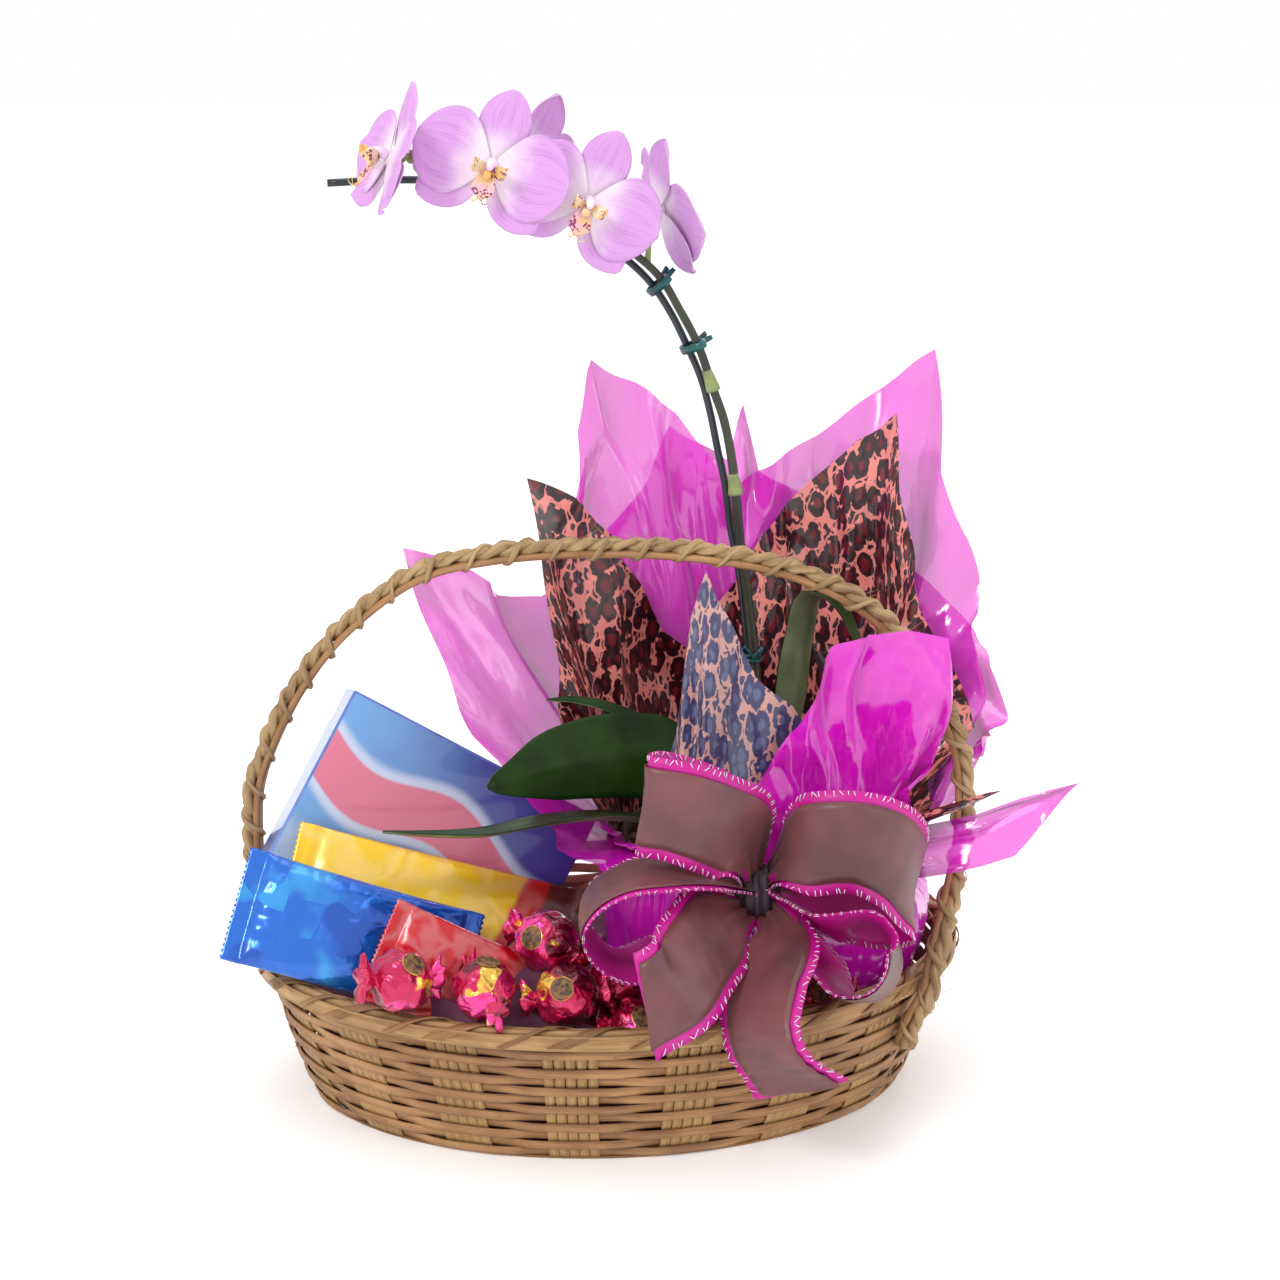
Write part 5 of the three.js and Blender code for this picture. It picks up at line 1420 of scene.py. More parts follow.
@dataclass
class Plant:
    """Leaves, crown, spike, support wire and the small clips and ties."""

    leaf_steps: int = 40
    crown_at: tuple[float, float, float] = (78.0, 10.0, 112.0)

    def leaf(self, name: str, green: Material, under: Material) -> None:
        """One leaf: a thick channelled blade with a keel and a slightly wavy edge.

        Args:
            name: The leaf's node.
            green: The material of its upper side.
            under: The material of its underside.
        """
        axis, half, across, fold = LEAF_AXES[name]
        line = spaced(spline(vectors(axis)), self.leaf_steps)
        frames = frames_along(line, Vector(across))
        columns = 12
        top, bottom = [], []
        for i, f in enumerate(frames):
            k = i / self.leaf_steps
            narrow = min(1.0, 0.28 + k * 1.9)
            tip = math.sqrt(max(0.0, 1 - ((k - 0.42) / 0.58) ** 2 * (k > 0.42)))
            width = half * max(0.04, narrow * tip * (1 - 0.3 * ease(k, 0.75, 1.0)))
            over, below = [], []
            for j in range(columns + 1):
                t = j / columns * 2 - 1
                wave = 0.05 * half * ripple(k * 5, t * 1.5, len(name) + half) * abs(t)
                channel = (abs(t) ** 1.25) * width * fold + wave
                thick = 2.0 * (1 - 0.82 * t * t) * (1 - 0.5 * k) + 0.25
                keel = 0.9 * math.exp(-((t / 0.12) ** 2)) * (1 - 0.7 * k)
                at = f.at + f.across * t * width + f.other * channel
                groove = -0.5 * math.exp(-((t / 0.08) ** 2))
                over.append(at + f.other * (thick / 2 + groove))
                below.append(at - f.other * (thick / 2 + keel))
            top.append(over)
            bottom.append(below)
        draft = Draft()
        sides = [green, under] if name in TURNED_OVER else [under, green]
        draft.shell(top, bottom, 0, 1)
        draft.object(f"{name}_blade", sides, "leaf", [name])

    def crown(self, green: Material, root: Material) -> None:
        """The short stem with clasping leaf bases and silvery roots."""
        draft = Draft()
        x, y, z = self.crown_at
        stem = [Vector((x, y, z)), Vector((x, y, z + 14)), Vector((x, y, z + 29))]
        draft.tube(spaced(spline(stem), 10), lambda k: 11 - 6.5 * k, 16)
        for n, turn in enumerate((190, 20, 110, 280)):
            a = math.radians(turn)
            out = Vector((math.cos(a), math.sin(a), 0))
            base = Vector((x, y, z + 6 + 4 * n))
            top = [base + out * 9 + Vector((0, 0, 8)), base + out * 5 + Vector((0, 0, 15))]
            line = spaced(spline([base + out * 6, *top]), 8)
            draft.ribbon(line, [out.cross(Vector((0, 0, 1))) * mix(7, 4, k / 8) for k in range(9)], 1.4, 0, 4)
        for degrees in (20, 170):
            c, s = math.cos(math.radians(degrees)), math.sin(math.radians(degrees))
            line = [Vector((x + r * c, y + r * s, h)) for r, h in ((5, 124), (18, 125), (32, 122.5))]
            draft.tube(spaced(spline(line), 12), lambda k: 2.5 - 1.2 * k, 10, 1)
        draft.object("crown_and_roots", [green, root], "leaf", ["orchid_crown"])

    def spike(self, olive: Material, pale: Material) -> None:
        """The flower spike: scape, sheaths at its nodes, pedicels and the last buds."""
        draft = Draft()
        route = vectors(SPIKE_ROUTE)
        line = spaced(spline(route), 130)
        draft.tube(line, lambda k: mix(2.9, 1.6, k) * (1 + 0.03 * ripple(k * 40)), 12)
        for a, b, radius in ((5, 6, 4.0), (8, 9, 3.8), (14, 15, 3.2), (16, 17, 2.9)):
            start, end = route[a], route[a] + (route[b] - route[a]).normalized() * 11
            sleeve = spaced([start, start.lerp(end, 0.5), end], 8)
            draft.tube(sleeve, lambda k, r=radius: r * (1 - 0.36 * k), 12, 1)
        for bloom in BLOOMS:
            back = Vector(bloom.at) - Vector(bloom.face).normalized() * 4.6
            foot = Vector(bloom.foot)
            bend = foot.lerp(back, 0.5) + Vector((0, 0, 2.5))
            stalk = spaced(spline([foot, bend, back]), 14)
            draft.tube(stalk, lambda k: 1.9 - 0.7 * math.sin(math.pi * k), 10, 1)
        for x, y, z, radius in ((-94, -11, 478, 2.6), (-90.5, -6, 473, 2.4)):
            Bloom.ball(draft, Vector((x, y, z)), (radius, radius, radius * 1.35), 1)
        draft.object("spike_with_stalks", [olive, pale], "spike", ["flower_spike"])

    def wire(self, coated: Material) -> None:
        """The coated support wire, bent over at the top."""
        draft = Draft()
        line = spaced(spline(vectors(WIRE_ROUTE)), 110)
        draft.tube(line, lambda k: 1.9, 12)
        draft.object("stake_wire", [coated], "wire_coating", ["support_wire"])

    def clips(self, teal: Material) -> None:
        """Two small clips round spike and wire, and the twisted tie lower down."""
        places = {
            "clip_lower": ((47, 13, 381), (41.6, 18.5, 381), (-0.42, 0, 0.9)),
            "clip_upper": ((29.3, 10.3, 413.3), (24.5, 16.6, 410), (-0.72, 0, 0.69)),
        }
        for name, (spike, wire, along) in places.items():
            draft = Draft()
            direction = Vector(along).normalized()
            apart = Vector(wire) - Vector(spike)
            apart -= direction * apart.dot(direction)
            spread = apart.normalized()
            third = spread.cross(direction)
            centre = Vector(spike) + apart / 2
            loops = []
            for j in range(28):
                a = j / 28 * TAU
                out = spread * math.cos(a) * (apart.length / 2 + 3.8) + third * math.sin(a) * 4.2
                n = out.normalized()
                section = ((-0.7, -2.2), (0.7, -1.9), (0.9, 0), (0.7, 1.9), (-0.7, 2.2))
                loops.append([centre + out + n * o + direction * h for o, h in section])
            draft.loft(loops, closed=True)
            for s in (-1, 1):
                beside = spread * s * 1.3
                tab = [centre + third * r + beside + direction * (r - 4) * 0.15 * s for r in (4, 8, 13)]
                sides = [direction * 1.9 * (1 - 0.05 * n) for n in range(9)]
                draft.ribbon(spaced(spline(tab), 8), sides, 1.1, 0, 2)
            draft.object(f"{name}_body", [teal], "clip_plastic", [name])
        draft = Draft()
        centre = Vector((76.3, 20, 218))
        for shift in (-1.5, 1.5):
            ring = []
            for j in range(41):
                a = j / 40 * TAU
                out = Vector((0.72 * math.cos(a), math.sin(a), 0)) * 7.7
                ring.append(centre + out + Vector((0, 0, shift + 0.9 * math.sin(a + shift))))
            draft.tube(ring, lambda k: 0.85, 8)
        for x, z in ((-5, 7), (5, 6)):
            tail = [centre + Vector(at) for at in ((0, -7.6, -1), (x * 0.4, -9.2, z * 0.5), (x, -9, z))]
            draft.tube(spaced(spline(tail), 10), lambda k: 0.8, 8)
        draft.object("twisted_tie", [teal], "clip_plastic", ["wire_tie"])


# Films and tie


FILM_EDGES = {
    "leopard_film": [
        [0, 115, 178, 1.6], [18, 91, 250, 1.3], [30, 94.5, 335, 1.3],
        [46, 83, 318, 1.2], [70, 75, 284, 1.2], [82, 72.6, 261, 1.1], [110, 75, 203, 1.1],
        [122, 78, 216, 1.2], [142, 85, 268, 1.2], [151, 88, 281, 1.2], [163, 120, 309, 1.3],
        [170, 108, 246, 1.3], [179, 102, 195, 1.4], [186, 90, 155, 1.4], [194, 76.8, 133.2, 1.2],
        [213, 76.4, 133.2, 1.2], [224, 63, 212, 1.2], [227, 60, 246, 1.2], [237, 59, 279, 1.2],
        [247, 59.5, 256, 1.2], [262, 63, 226, 1.2], [277, 67, 214, 1.2], [301, 70, 172, 1.2],
        [327, 74, 136, 1.3], [330, 77, 138, 1.6], [333, 136, 171, 1.6], [336, 124, 168, 1.6],
        [338, 97, 155, 1.6], [339, 90, 150, 1.6], [347, 90, 154, 1.6], [353, 112, 174, 1.6],
    ],
    "cellophane_inner": [
        [0, 112, 167, 1.1], [18, 135, 226, 1.0], [30, 126, 300, 1.0], [37, 137, 361, 1.0],
        [46, 115, 348, 1.0], [58, 97, 325, 1.0], [70, 88, 310, 1.0], [82, 81.5, 298, 1.0],
        [92, 82, 290, 1.0], [110, 87, 330, 1.0], [122, 97, 345, 1.0], [133, 113, 361, 1.0],
        [138, 120, 322, 1.0], [142, 107, 262, 1.0], [151, 95, 205, 1.0], [163, 87, 158, 1.0],
        [170, 83, 148, 1.1], [186, 81, 139, 1.1], [194, 79.4, 133.6, 1.1], [227, 79.4, 136, 1.1],
        [237, 79, 142, 1.1], [247, 79.5, 160, 1.1], [262, 80, 180, 1.1], [277, 79, 206, 1.1],
        [288, 77, 239, 1.1], [301, 84, 251, 1.1], [314, 118, 251, 1.1], [327, 77, 131.5, 1.1],
        [330, 77, 131.5, 1.1], [333, 79, 132, 1.1], [339, 80.5, 134.6, 1.1], [347, 86, 138, 1.1],
        [353, 107, 160, 1.1],
    ],
    "cellophane_outer": [
        [0, 126, 172, 0.95], [18, 143, 202, 0.95], [37, 124, 240, 0.95], [58, 106, 275, 0.95],
        [82, 91, 298, 0.95], [87, 92, 332, 0.95], [92, 92, 303, 0.95], [110, 96, 322, 0.95],
        [122, 106, 288, 0.95], [138, 122, 246, 0.9], [151, 127, 237, 0.9],
        [163, 140, 252, 0.9], [170, 187, 272, 0.9], [179, 152, 202, 0.9],
        [186, 133, 176, 0.9], [194, 118, 142, 0.9], [213, 100, 124.6, 0.9],
        [227, 86, 130.5, 0.9], [247, 83, 138, 0.9], [277, 83.5, 142, 0.9], [301, 84, 137, 0.9],
        [314, 92, 128, 0.9],
        [327, 96, 123, 0.9], [330, 142, 138, 0.9], [333, 160, 163, 0.9], [336, 169, 172, 0.9],
        [338, 99, 146, 0.9], [339, 93, 141, 0.9],
        [347, 96, 143, 0.9], [353, 120, 168, 0.9],
    ],
}


def zigzag(turns: float) -> float:
    """A wave of straight flanks from -1 to 1, once for each whole turn."""
    return 2 * abs(2 * (turns - math.floor(turns + 0.5))) - 1


@dataclass
class Wrap:
    """The films round the pot: one square of printed film inside two of magenta cellophane."""

    centre: tuple[float, float] = (78.0, 8.0)
    tie_radius: float = 72.3
    tie_z: float = 128.0
    neck_z: float = 115.0
    cup_z: float = 92.0
    base_radius: float = 53.0
    lowest: float = 5.0
    pitch: float = 1.3
    seam: float = 70.0
    crease: float = 24.0
    low_rows: int = 16
    high_rows: int = 34
    flap: tuple[float, float, float, float, float] = (322.0, 338.0, 75.0, 115.0, -14.0)
    order: tuple[str, ...] = ("leopard_film", "cellophane_inner", "cellophane_outer")

    def about(self, degrees: float, radius: float, z: float) -> Vector:
        """A point about the pot's axis."""
        t = math.radians(degrees)
        return Vector((self.centre[0] + radius * math.cos(t), self.centre[1] + radius * math.sin(t), z))

    def flap_turn(self, azimuth: float, radius: float) -> float:
        """How far a flap turns about the pot to pass in front of the handle's right leg."""
        first, last, near, far, turn = self.flap
        if azimuth < first or azimuth > last:
            return 0.0
        return turn * ease(radius, near, near + 25) * (1 - 0.8 * ease(radius, far, far + 40))

    @staticmethod
    def edge(rows: Sequence[Sequence[float]], azimuth: float) -> list[float]:
        """Radius, height and bend of a film's edge at an azimuth."""
        k = max(n for n, row in enumerate(rows) if row[0] <= azimuth)
        start = rows[k]
        end = rows[k + 1] if k + 1 < len(rows) else [rows[0][0] + 360, *rows[0][1:]]
        share = (azimuth - start[0]) / (end[0] - start[0])
        return [mix(start[n], end[n], share) for n in (1, 2, 3)]

    def azimuths(self) -> list[float]:
        """Azimuths from the seam once round, at most a degree apart, with every listed corner among them."""
        corners = sorted({row[0] for rows in FILM_EDGES.values() for row in rows} | {self.seam})
        out = []
        for a, b in zip(corners, [*corners[1:], corners[0] + 360]):
            steps = max(1, math.ceil((b - a) / 0.95))
            out += [mix(a, b, n / steps) for n in range(steps)]
        start = out.index(self.seam)
        return [*out[start:], *out[:start], self.seam]

    def fold(self, azimuth: float, z: float, edge: float) -> float:
        """How far pleats and folds push the films out at a place, the same for every layer.

        Args:
            azimuth: The azimuth in degrees.
            z: The height.
            edge: The share of the way from the tie to the cut edge.

        Returns:
            The distance in millimetres.
        """
        t = math.radians(azimuth)
        c, s = math.cos(t), math.sin(t)
        warp = ripple(c * 2.1, s * 2.1, z * 0.004)
        pleats = zigzag(azimuth / 360 * 44 + warp * 1.3)
        small = zigzag(azimuth / 360 * 71 + warp * 2.1 + 0.3)
        broad = zigzag(azimuth / 360 * 13 + ripple(c * 1.4, s * 1.4, 5 + z * 0.006) * 0.9)
        away = abs(z - self.tie_z)
        near = math.exp(-((away / 20) ** 2))
        far = ease(away, 6, 70)
        soft = ripple(c * 4, s * 4, z * 0.016) * 3.4 * far
        gathered = pleats * (1.1 * near + 0.25 * far) + small * 0.6 * (1 - far)
        return gathered + broad * 2.4 * far + soft * (0.6 + edge)

    def column(self, layer: int, azimuth: float) -> list[Vector]:
        """A film's points at one azimuth, from under the pot up to the cut edge."""
        turned = azimuth % 360
        away = abs(((turned + 190) % 360) - 180) / 40
        loose = math.exp(-away * away)
        out = layer * (self.pitch + loose)
        tie = self.tie_radius + layer * self.pitch
        low = self.lowest + (2 - layer) * self.pitch
        profile = [(2.0, low), (self.base_radius - 6 + layer, low), (77 + 11 * loose + out, self.cup_z)]
        profile += [(tie + 0.6, self.neck_z), (tie, self.tie_z)]
        line = spaced(spline([Vector((r, 0, z)) for r, z in profile], 8), self.low_rows)
        radius, height, bend = self.edge(FILM_EDGES[self.order[layer]], turned)
        jag = 1 + 0.006 * ripple(turned * 0.12, layer * 7.0)
        for n in range(1, self.high_rows + 1):
            f = (n / self.high_rows) * jag
            line.append(Vector((mix(tie, radius, f**bend), 0, mix(self.tie_z, height, f))))
        points = []
        for n, p in enumerate(line):
            f = clamp((n - self.low_rows) / self.high_rows)
            step = line[min(n + 1, len(line) - 1)] - line[max(n - 1, 0)]
            normal = Vector((step.z, 0, -step.x)).normalized()
            if normal.x < 0 and n < self.low_rows:
                normal.negate()
            lean = ease(abs(p.z - self.tie_z), 5, 45)
            normal = Vector((1, 0, 0)).lerp(normal, lean).normalized()
            push = self.fold(turned, p.z, f) * ease(p.z, 5, 30)
            push += f**3 * 2.6 * ripple(turned * 0.07, layer * 3.3, 2.0)
            if layer:
                drift = 0.8 * ripple(f * 2, turned * 0.02, layer * 3.0)
                push += 5.0 * f * zigzag(turned / self.crease + drift)
            q = p + normal * push
            reach = max(q.x, 0.5)
            points.append(self.about(turned + self.flap_turn(turned, p.x), reach, max(q.z, 3.2)))
        return points

    def rings(self, layer: int) -> tuple[list[list[Vector]], Callable[[int, int], tuple[float, float]]]:
        """A film's grid of points, ring by ring, and the surface coordinate of each."""
        turns = self.azimuths()
        columns = [self.column(layer, a) for a in turns]
        reach = []
        for column in columns:
            along = [0.0]
            for a, b in zip(column, column[1:]):
                along.append(along[-1] + (b - a).length)
            reach.append(along)
        rows = [[column[i] for column in columns] for i in range(len(columns[0]))]
        middle = rows[self.low_rows + round(0.7 * self.high_rows)]
        unrolled = [0.0]
        for a, b in zip(middle, middle[1:]):
            unrolled.append(unrolled[-1] + (b - a).length)
        return rows, lambda i, j: (reach[j][i], unrolled[j])

    def printed(self, inside: Material, outside: Material) -> None:
        """The printed film, with one finish inside and another outside."""
        rows, place = self.rings(0)
        draft = Draft()
        draft.grid(rows, finish=0, flip=True, place=place)
        skin = []
        for i, row in enumerate(rows):
            skin.append([])
            for j, p in enumerate(row):
                along = rows[min(i + 1, len(rows) - 1)][j] - rows[max(i - 1, 0)][j]
                across = row[min(j + 1, len(row) - 1)] - row[max(j - 1, 0)]
                skin[-1].append(p - along.cross(across).normalized() * 0.16)
        draft.grid(skin, finish=1, place=place)
        draft.grid([rows[-1], skin[-1]], finish=1)
        draft.grid([rows[0], skin[0]], finish=1)
        piece = draft.object("printed_film", [inside, outside], "leopard_print", ["leopard_film"])

    def clear(self, layer: int, magenta: Material) -> None:
        """One of the two cellophane sheets."""
        rows, place = self.rings(layer)
        draft = Draft()
        draft.grid(rows, place=place)
        node = self.order[layer]
        piece = draft.object(f"{node}_sheet", [magenta], "magenta_film", [node])

    def band(self, sheer: Material) -> None:
        """The ribbon tied round the gathered films, drawn tight over their pleats."""
        draft = Draft()
        loops = []
        for n in range(300):
            a = n / 300 * 360
            t = math.radians(a)
            out = 76.6 + 0.5 * self.fold(a, self.tie_z - 6, 0)
            sag = 0.8 * ripple(math.cos(t) * 3, math.sin(t) * 3)
            creases = [0.25 * ripple(a * 0.3, k * 2.2) for k in range(5)]
            heights = [mix(117.5, 125.5, k / 4) + sag for k in range(5)]
            outer = [self.about(a, out + 0.5 + c, z) for c, z in zip(creases, heights)]
            inner = [self.about(a, out + c, z) for c, z in zip(creases, heights)]
            loops.append([*outer, *reversed(inner)])
        draft.loft(loops, closed=True)
        draft.object("tied_band", [sheer], "sheer", ["tie_band"])


# Bow


@dataclass
class Strip:
    """One loop or tail of the bow: its route, its width directions, the satin's side and its end's slant."""

    name: str
    path: Sequence[Sequence[float]]
    widths: Sequence[Sequence[float]]
    satin: int
    slant: float


BOW_STRIPS = (
    Strip(
        "loop_upper_left", [
            [62, -89, 136], [58, -102, 160], [42, -113, 173], [23, -119, 182], [6, -113, 184],
            [12, -101, 182], [39, -92, 169], [62, -84, 138],
        ],
        [[0.4, 0.1, 0.85], [0.25, 0.05, 1], [0.12, 0, 1], [0.4, 0.1, 0.85]], -1, 0,
    ),
    Strip(
        "loop_lower_left", [
            [61, -89, 131], [38, -100, 144], [16, -108, 148], [-2, -111, 147], [-17, -111, 138],
            [-23, -111, 127], [-19, -112, 114], [-3, -109, 103], [20, -97, 107], [42, -81, 121],
            [58, -79, 131],
        ],
        [[-0.1, -1, 0.1], [-0.1, -1, 0.02], [-0.1, -1, 0.02], [0, -1, 0]], 1, 0,
    ),
    Strip(
        "loop_upper_right", [
            [71, -87, 136], [78, -102, 154], [91, -113, 162], [112, -116, 162], [133, -106, 148],
            [141, -90, 126], [128, -81, 120], [106, -78, 125], [72, -82, 133],
        ],
        [[0.3, 0.2, 0.9], [0.2, 0.15, 0.95], [0.2, 0.25, 0.95], [0.15, 0.3, 0.93]], 1, 0,
    ),
    Strip(
        "loop_lower_right", [
            [73, -89, 127], [84, -105, 123], [94, -117, 121], [103, -122, 124], [113, -122, 125],
            [123, -121, 118], [127, -124, 108], [123, -130, 98], [113, -134, 91], [102, -130, 90],
            [93, -114, 97], [84, -94, 106], [75, -87, 121],
        ],
        [[0.5, 0.3, -0.6], [0.33, 0.8, -0.48], [0.3, 0.85, -0.35], [0.5, 0.5, 0.2]], 1, 0,
    ),
    Strip(
        "tail_left", [
            [61, -91, 121], [43, -113, 121], [32, -129, 116], [19, -146, 106], [3, -152, 98],
        ],
        [[0.7, 0, -0.65], [0.76, 0, -0.65], [0.76, 0, -0.65]], 1, 8,
    ),
    Strip(
        "tail_centre", [
            [69, -91, 122], [73, -105, 117], [70, -119, 111], [62, -133, 99], [58, -147, 85], [61, -155, 72],
            [77, -158, 55],
        ],
        [[0.6, -0.8, 0], [0.55, -0.83, 0], [0.8, -0.5, 0.3]], 1, 8,
    ),
)


@dataclass
class Bow:
    """The bow: satin ribbon over a wider sheer ribbon whose edges are stitched."""

    satin_half: float = 19.5
    sheer_half: float = 25.0
    spacing: float = 1.1
    gather: float = 0.2
    tail_gather: float = 0.35
    steps: int = 64
    cells: int = 10
    knot_at: tuple[float, float, float] = (65.0, -88.0, 129.0)
    knot_half: tuple[float, float, float] = (11.5, 9.0, 12.5)

    def rows(self, strip: Strip, half: float, offset: float) -> list[list[Vector]]:
        """A ribbon's middle surface along a strip.

        Args:
            strip: The loop or tail.
            half: Half of the ribbon's width.
            offset: How far it lies to one side of the strip's route.

        Returns:
            Rows of points across the ribbon.
        """
        line = spaced(spline(vectors(strip.path)), self.steps)
        turns = spline(vectors(strip.widths), 16)
        seed = len(strip.name) * 1.7 + strip.path[1][0] * 0.1
        grid = []
        for n, at in enumerate(line):
            k = n / self.steps
            tangent = (line[min(n + 1, self.steps)] - line[max(n - 1, 0)]).normalized()
            width = turns[round(k * (len(turns) - 1))].copy()
            width = (width - tangent * width.dot(tangent)).normalized()
            normal = tangent.cross(width)
            near = min(k, 1 - k) / self.gather if strip.slant == 0 else k / self.tail_gather
            share = mix(0.36, 1, ease(near))
            row = []
            for j in range(self.cells + 1):
                t = j / self.cells * 2 - 1
                pleat = 2.6 * (1 - share) * math.cos(t * 9 + seed)
                wave = 0.9 * ripple(k * 4, t * 0.6, seed) * share
                wave += 0.4 * ripple(k * 13, t * 2, seed + 4) * share
                bow = 0.7 * (1 - t * t) * share
                row.append(
                    at
                    + normal * (offset + pleat + wave + bow)
                    + width * (t * half * share)
                    + tangent * (t * strip.slant * k)
                )
            grid.append(row)
        return grid

    def loop(
        self,
        strip: Strip,
        satin: Material,
        sheer: Material,
        thread: Material,
    ) -> None:
        """One loop or tail, both ribbons, with the stitches along the sheer ribbon's edges."""
        side = strip.satin * self.spacing / 2
        top = self.rows(strip, self.satin_half, side)
        under = self.rows(strip, self.sheer_half, -side)
        draft = Draft()
        draft.blade(top, 0.3)
        over = draft.object(f"{strip.name}_satin_ribbon", [satin], "satin", [f"{strip.name}_satin"])
        draft = Draft()
        draft.blade(under, 0.24, 0, 0)
        self.stitches(draft, under)
        below = draft.object(f"{strip.name}_sheer_ribbon", [sheer, thread], "sheer", [f"{strip.name}_sheer"])

    def stitches(self, draft: Draft, grid: Rows) -> None:
        """White running stitches near both edges, on both faces of the ribbon."""
        for column, inner in ((0, 1), (self.cells, self.cells - 1)):
            edge = [row[column].lerp(row[inner], 0.3) for row in grid]
            normals = []
            for n, row in enumerate(grid):
                tangent = edge[min(n + 1, len(edge) - 1)] - edge[max(n - 1, 0)]
                normals.append(tangent.cross(row[inner] - row[column]).normalized())
            rim = [row[column].lerp(row[inner], 0.04) for row in grid]
            within = [row[column].lerp(row[inner], 0.62) for row in grid]
            reach = sum((b - a).length for a, b in zip(edge, edge[1:]))
            count = int(reach / 3.4)
            lines = [spaced(rim, count * 4), spaced(within, count * 4)]
            rng = random.Random(int(reach * 10) + column)
            for n in range(count - 1):
                k = min(len(normals) - 1, round(n / count * (len(normals) - 1)))
                skew = rng.choice((0, 1, 2, 3, 4))
                a, b = lines[0][n * 4 + skew], lines[1][n * 4 + rng.choice((0, 1, 2, 3))].copy()
                b = a.lerp(b, rng.uniform(0.6, 1.0))
                for face in (-0.3, 0.3):
                    up = normals[k] * face
                    draft.tube([a + up, a.lerp(b, 0.5) + up * 1.5, b + up], lambda _: 0.24, 4, 1)

    def knot(self, satin: Material) -> None:
        """The knot: ribbon pinched into folds that run round it, in the loops' satin painted darker as
        painted shade.
        """
        draft = Draft()
        loops = []
        for i in range(1, 26):
            t = i / 26 * math.pi
            ring = []
            for j in range(40):
                a = j / 40 * TAU
                drift = 0.25 * ripple(math.cos(a) * 2, math.sin(a) * 2)
                crease = 1 + 0.09 * zigzag(t * 2.1 + drift) * math.sin(t)
                pinch = 1 - 0.16 * math.cos(a * 2 + t)
                size = crease * pinch * math.sin(t)
                spot = Vector((math.cos(t) * crease, size * math.cos(a), size * math.sin(a)))
                ring.append(Vector(self.knot_at) + Vector(s * h for s, h in zip(spot, self.knot_half)))
            loops.append(ring)
        draft.loft(loops)
        draft.object("tied_knot", [satin], "satin", ["bow_knot"])


# Sweets


def leaning(corner: Sequence[float], slope: float, lean: float, size: Sequence[float]) -> Matrix:
    """The matrix that takes a pack from its own axes to its place.

    Args:
        corner: Its top left corner.
        slope: How far its top edge falls to the right, in degrees.
        lean: How far it leans back, in degrees.
        size: Its length, height and thickness.

    Returns:
        The matrix; the pack's own X runs along it, Y up it and Z out of its face.
    """
    c, s = math.cos(math.radians(slope)), math.sin(math.radians(slope))
    cl, sl = math.cos(math.radians(lean)), math.sin(math.radians(lean))
    along, down = Vector((c, 0, -s)), Vector((-s * cl, -sl, -c * cl))
    back = along.cross(down).normalized()
    centre = Vector(corner) + along * size[0] / 2 + down * size[1] / 2 + back * size[2] / 2
    return Matrix.Translation(centre) @ Matrix((along, -down, -back)).transposed().to_4x4()


@dataclass
class FlowPack:
    """A flow pack: a pillow of film with flat crimped, saw-toothed ends."""

    name: str
    corner: tuple[float, float, float]
    slope: float
    lean: float
    size: tuple[float, float, float]
    crimp: float = 0.075
    slack: float = 1.0

    def build(self, wrap: Material) -> None:
        """The pack, replacing its node."""
        long, high, thick = self.size
        rows, columns = 92, 40
        seed = self.corner[0]
        faces: list[list[list[Vector]]] = [[], []]
        for i in range(rows + 1):
            k = i / rows
            inner = clamp((k - self.crimp) / (1 - 2 * self.crimp))
            swell = math.sin(math.pi * inner) ** 0.4 if 0 < inner < 1 else 0.0
            flat = 1 - ease(min(k, 1 - k), self.crimp * 0.9, self.crimp * 1.5)
            for which, sign in enumerate((1, -1)):
                row = []
                for j in range(columns + 1):
                    t = j / columns * 2 - 1
                    x = (k - 0.5) * long
                    if i in (0, rows):
                        x += (0.8 if j % 2 else -0.4) * (1 if i else -1)
                    bulge = max(0.0, 1 - t * t) ** 0.55
                    gathers = 0.5 * self.slack * zigzag(t * 2.3 + 0.8 * ripple(k * 5, seed)) * bulge
                    gathers *= math.exp(-((min(k, 1 - k) - self.crimp) / 0.1) ** 2) * (1 - flat)
                    dent = self.slack * 0.9 * ripple(k * 5, t * 1.6, seed + which * 9) * bulge * swell
                    ridge = 0.28 * math.cos(x * TAU / 2.1) * flat
                    z = sign * (0.35 + (thick / 2 - 0.35) * swell * bulge) + sign * (gathers + dent) + ridge
                    pull = 1 - 0.03 * swell
                    row.append(Vector((x, -t * high / 2 * pull, z)))
                faces[which].append(row)
        draft = Draft()
        draft.shell(faces[0], faces[1])
        draft.moved(leaning(self.corner, self.slope, self.lean, self.size))
        draft.object(f"{self.name}_flow_pack", [wrap], self.slot(), [self.name])

    def slot(self) -> str:
        """The name of the pack's material slot."""
        return f"{self.name.split('_')[0]}_wrap"


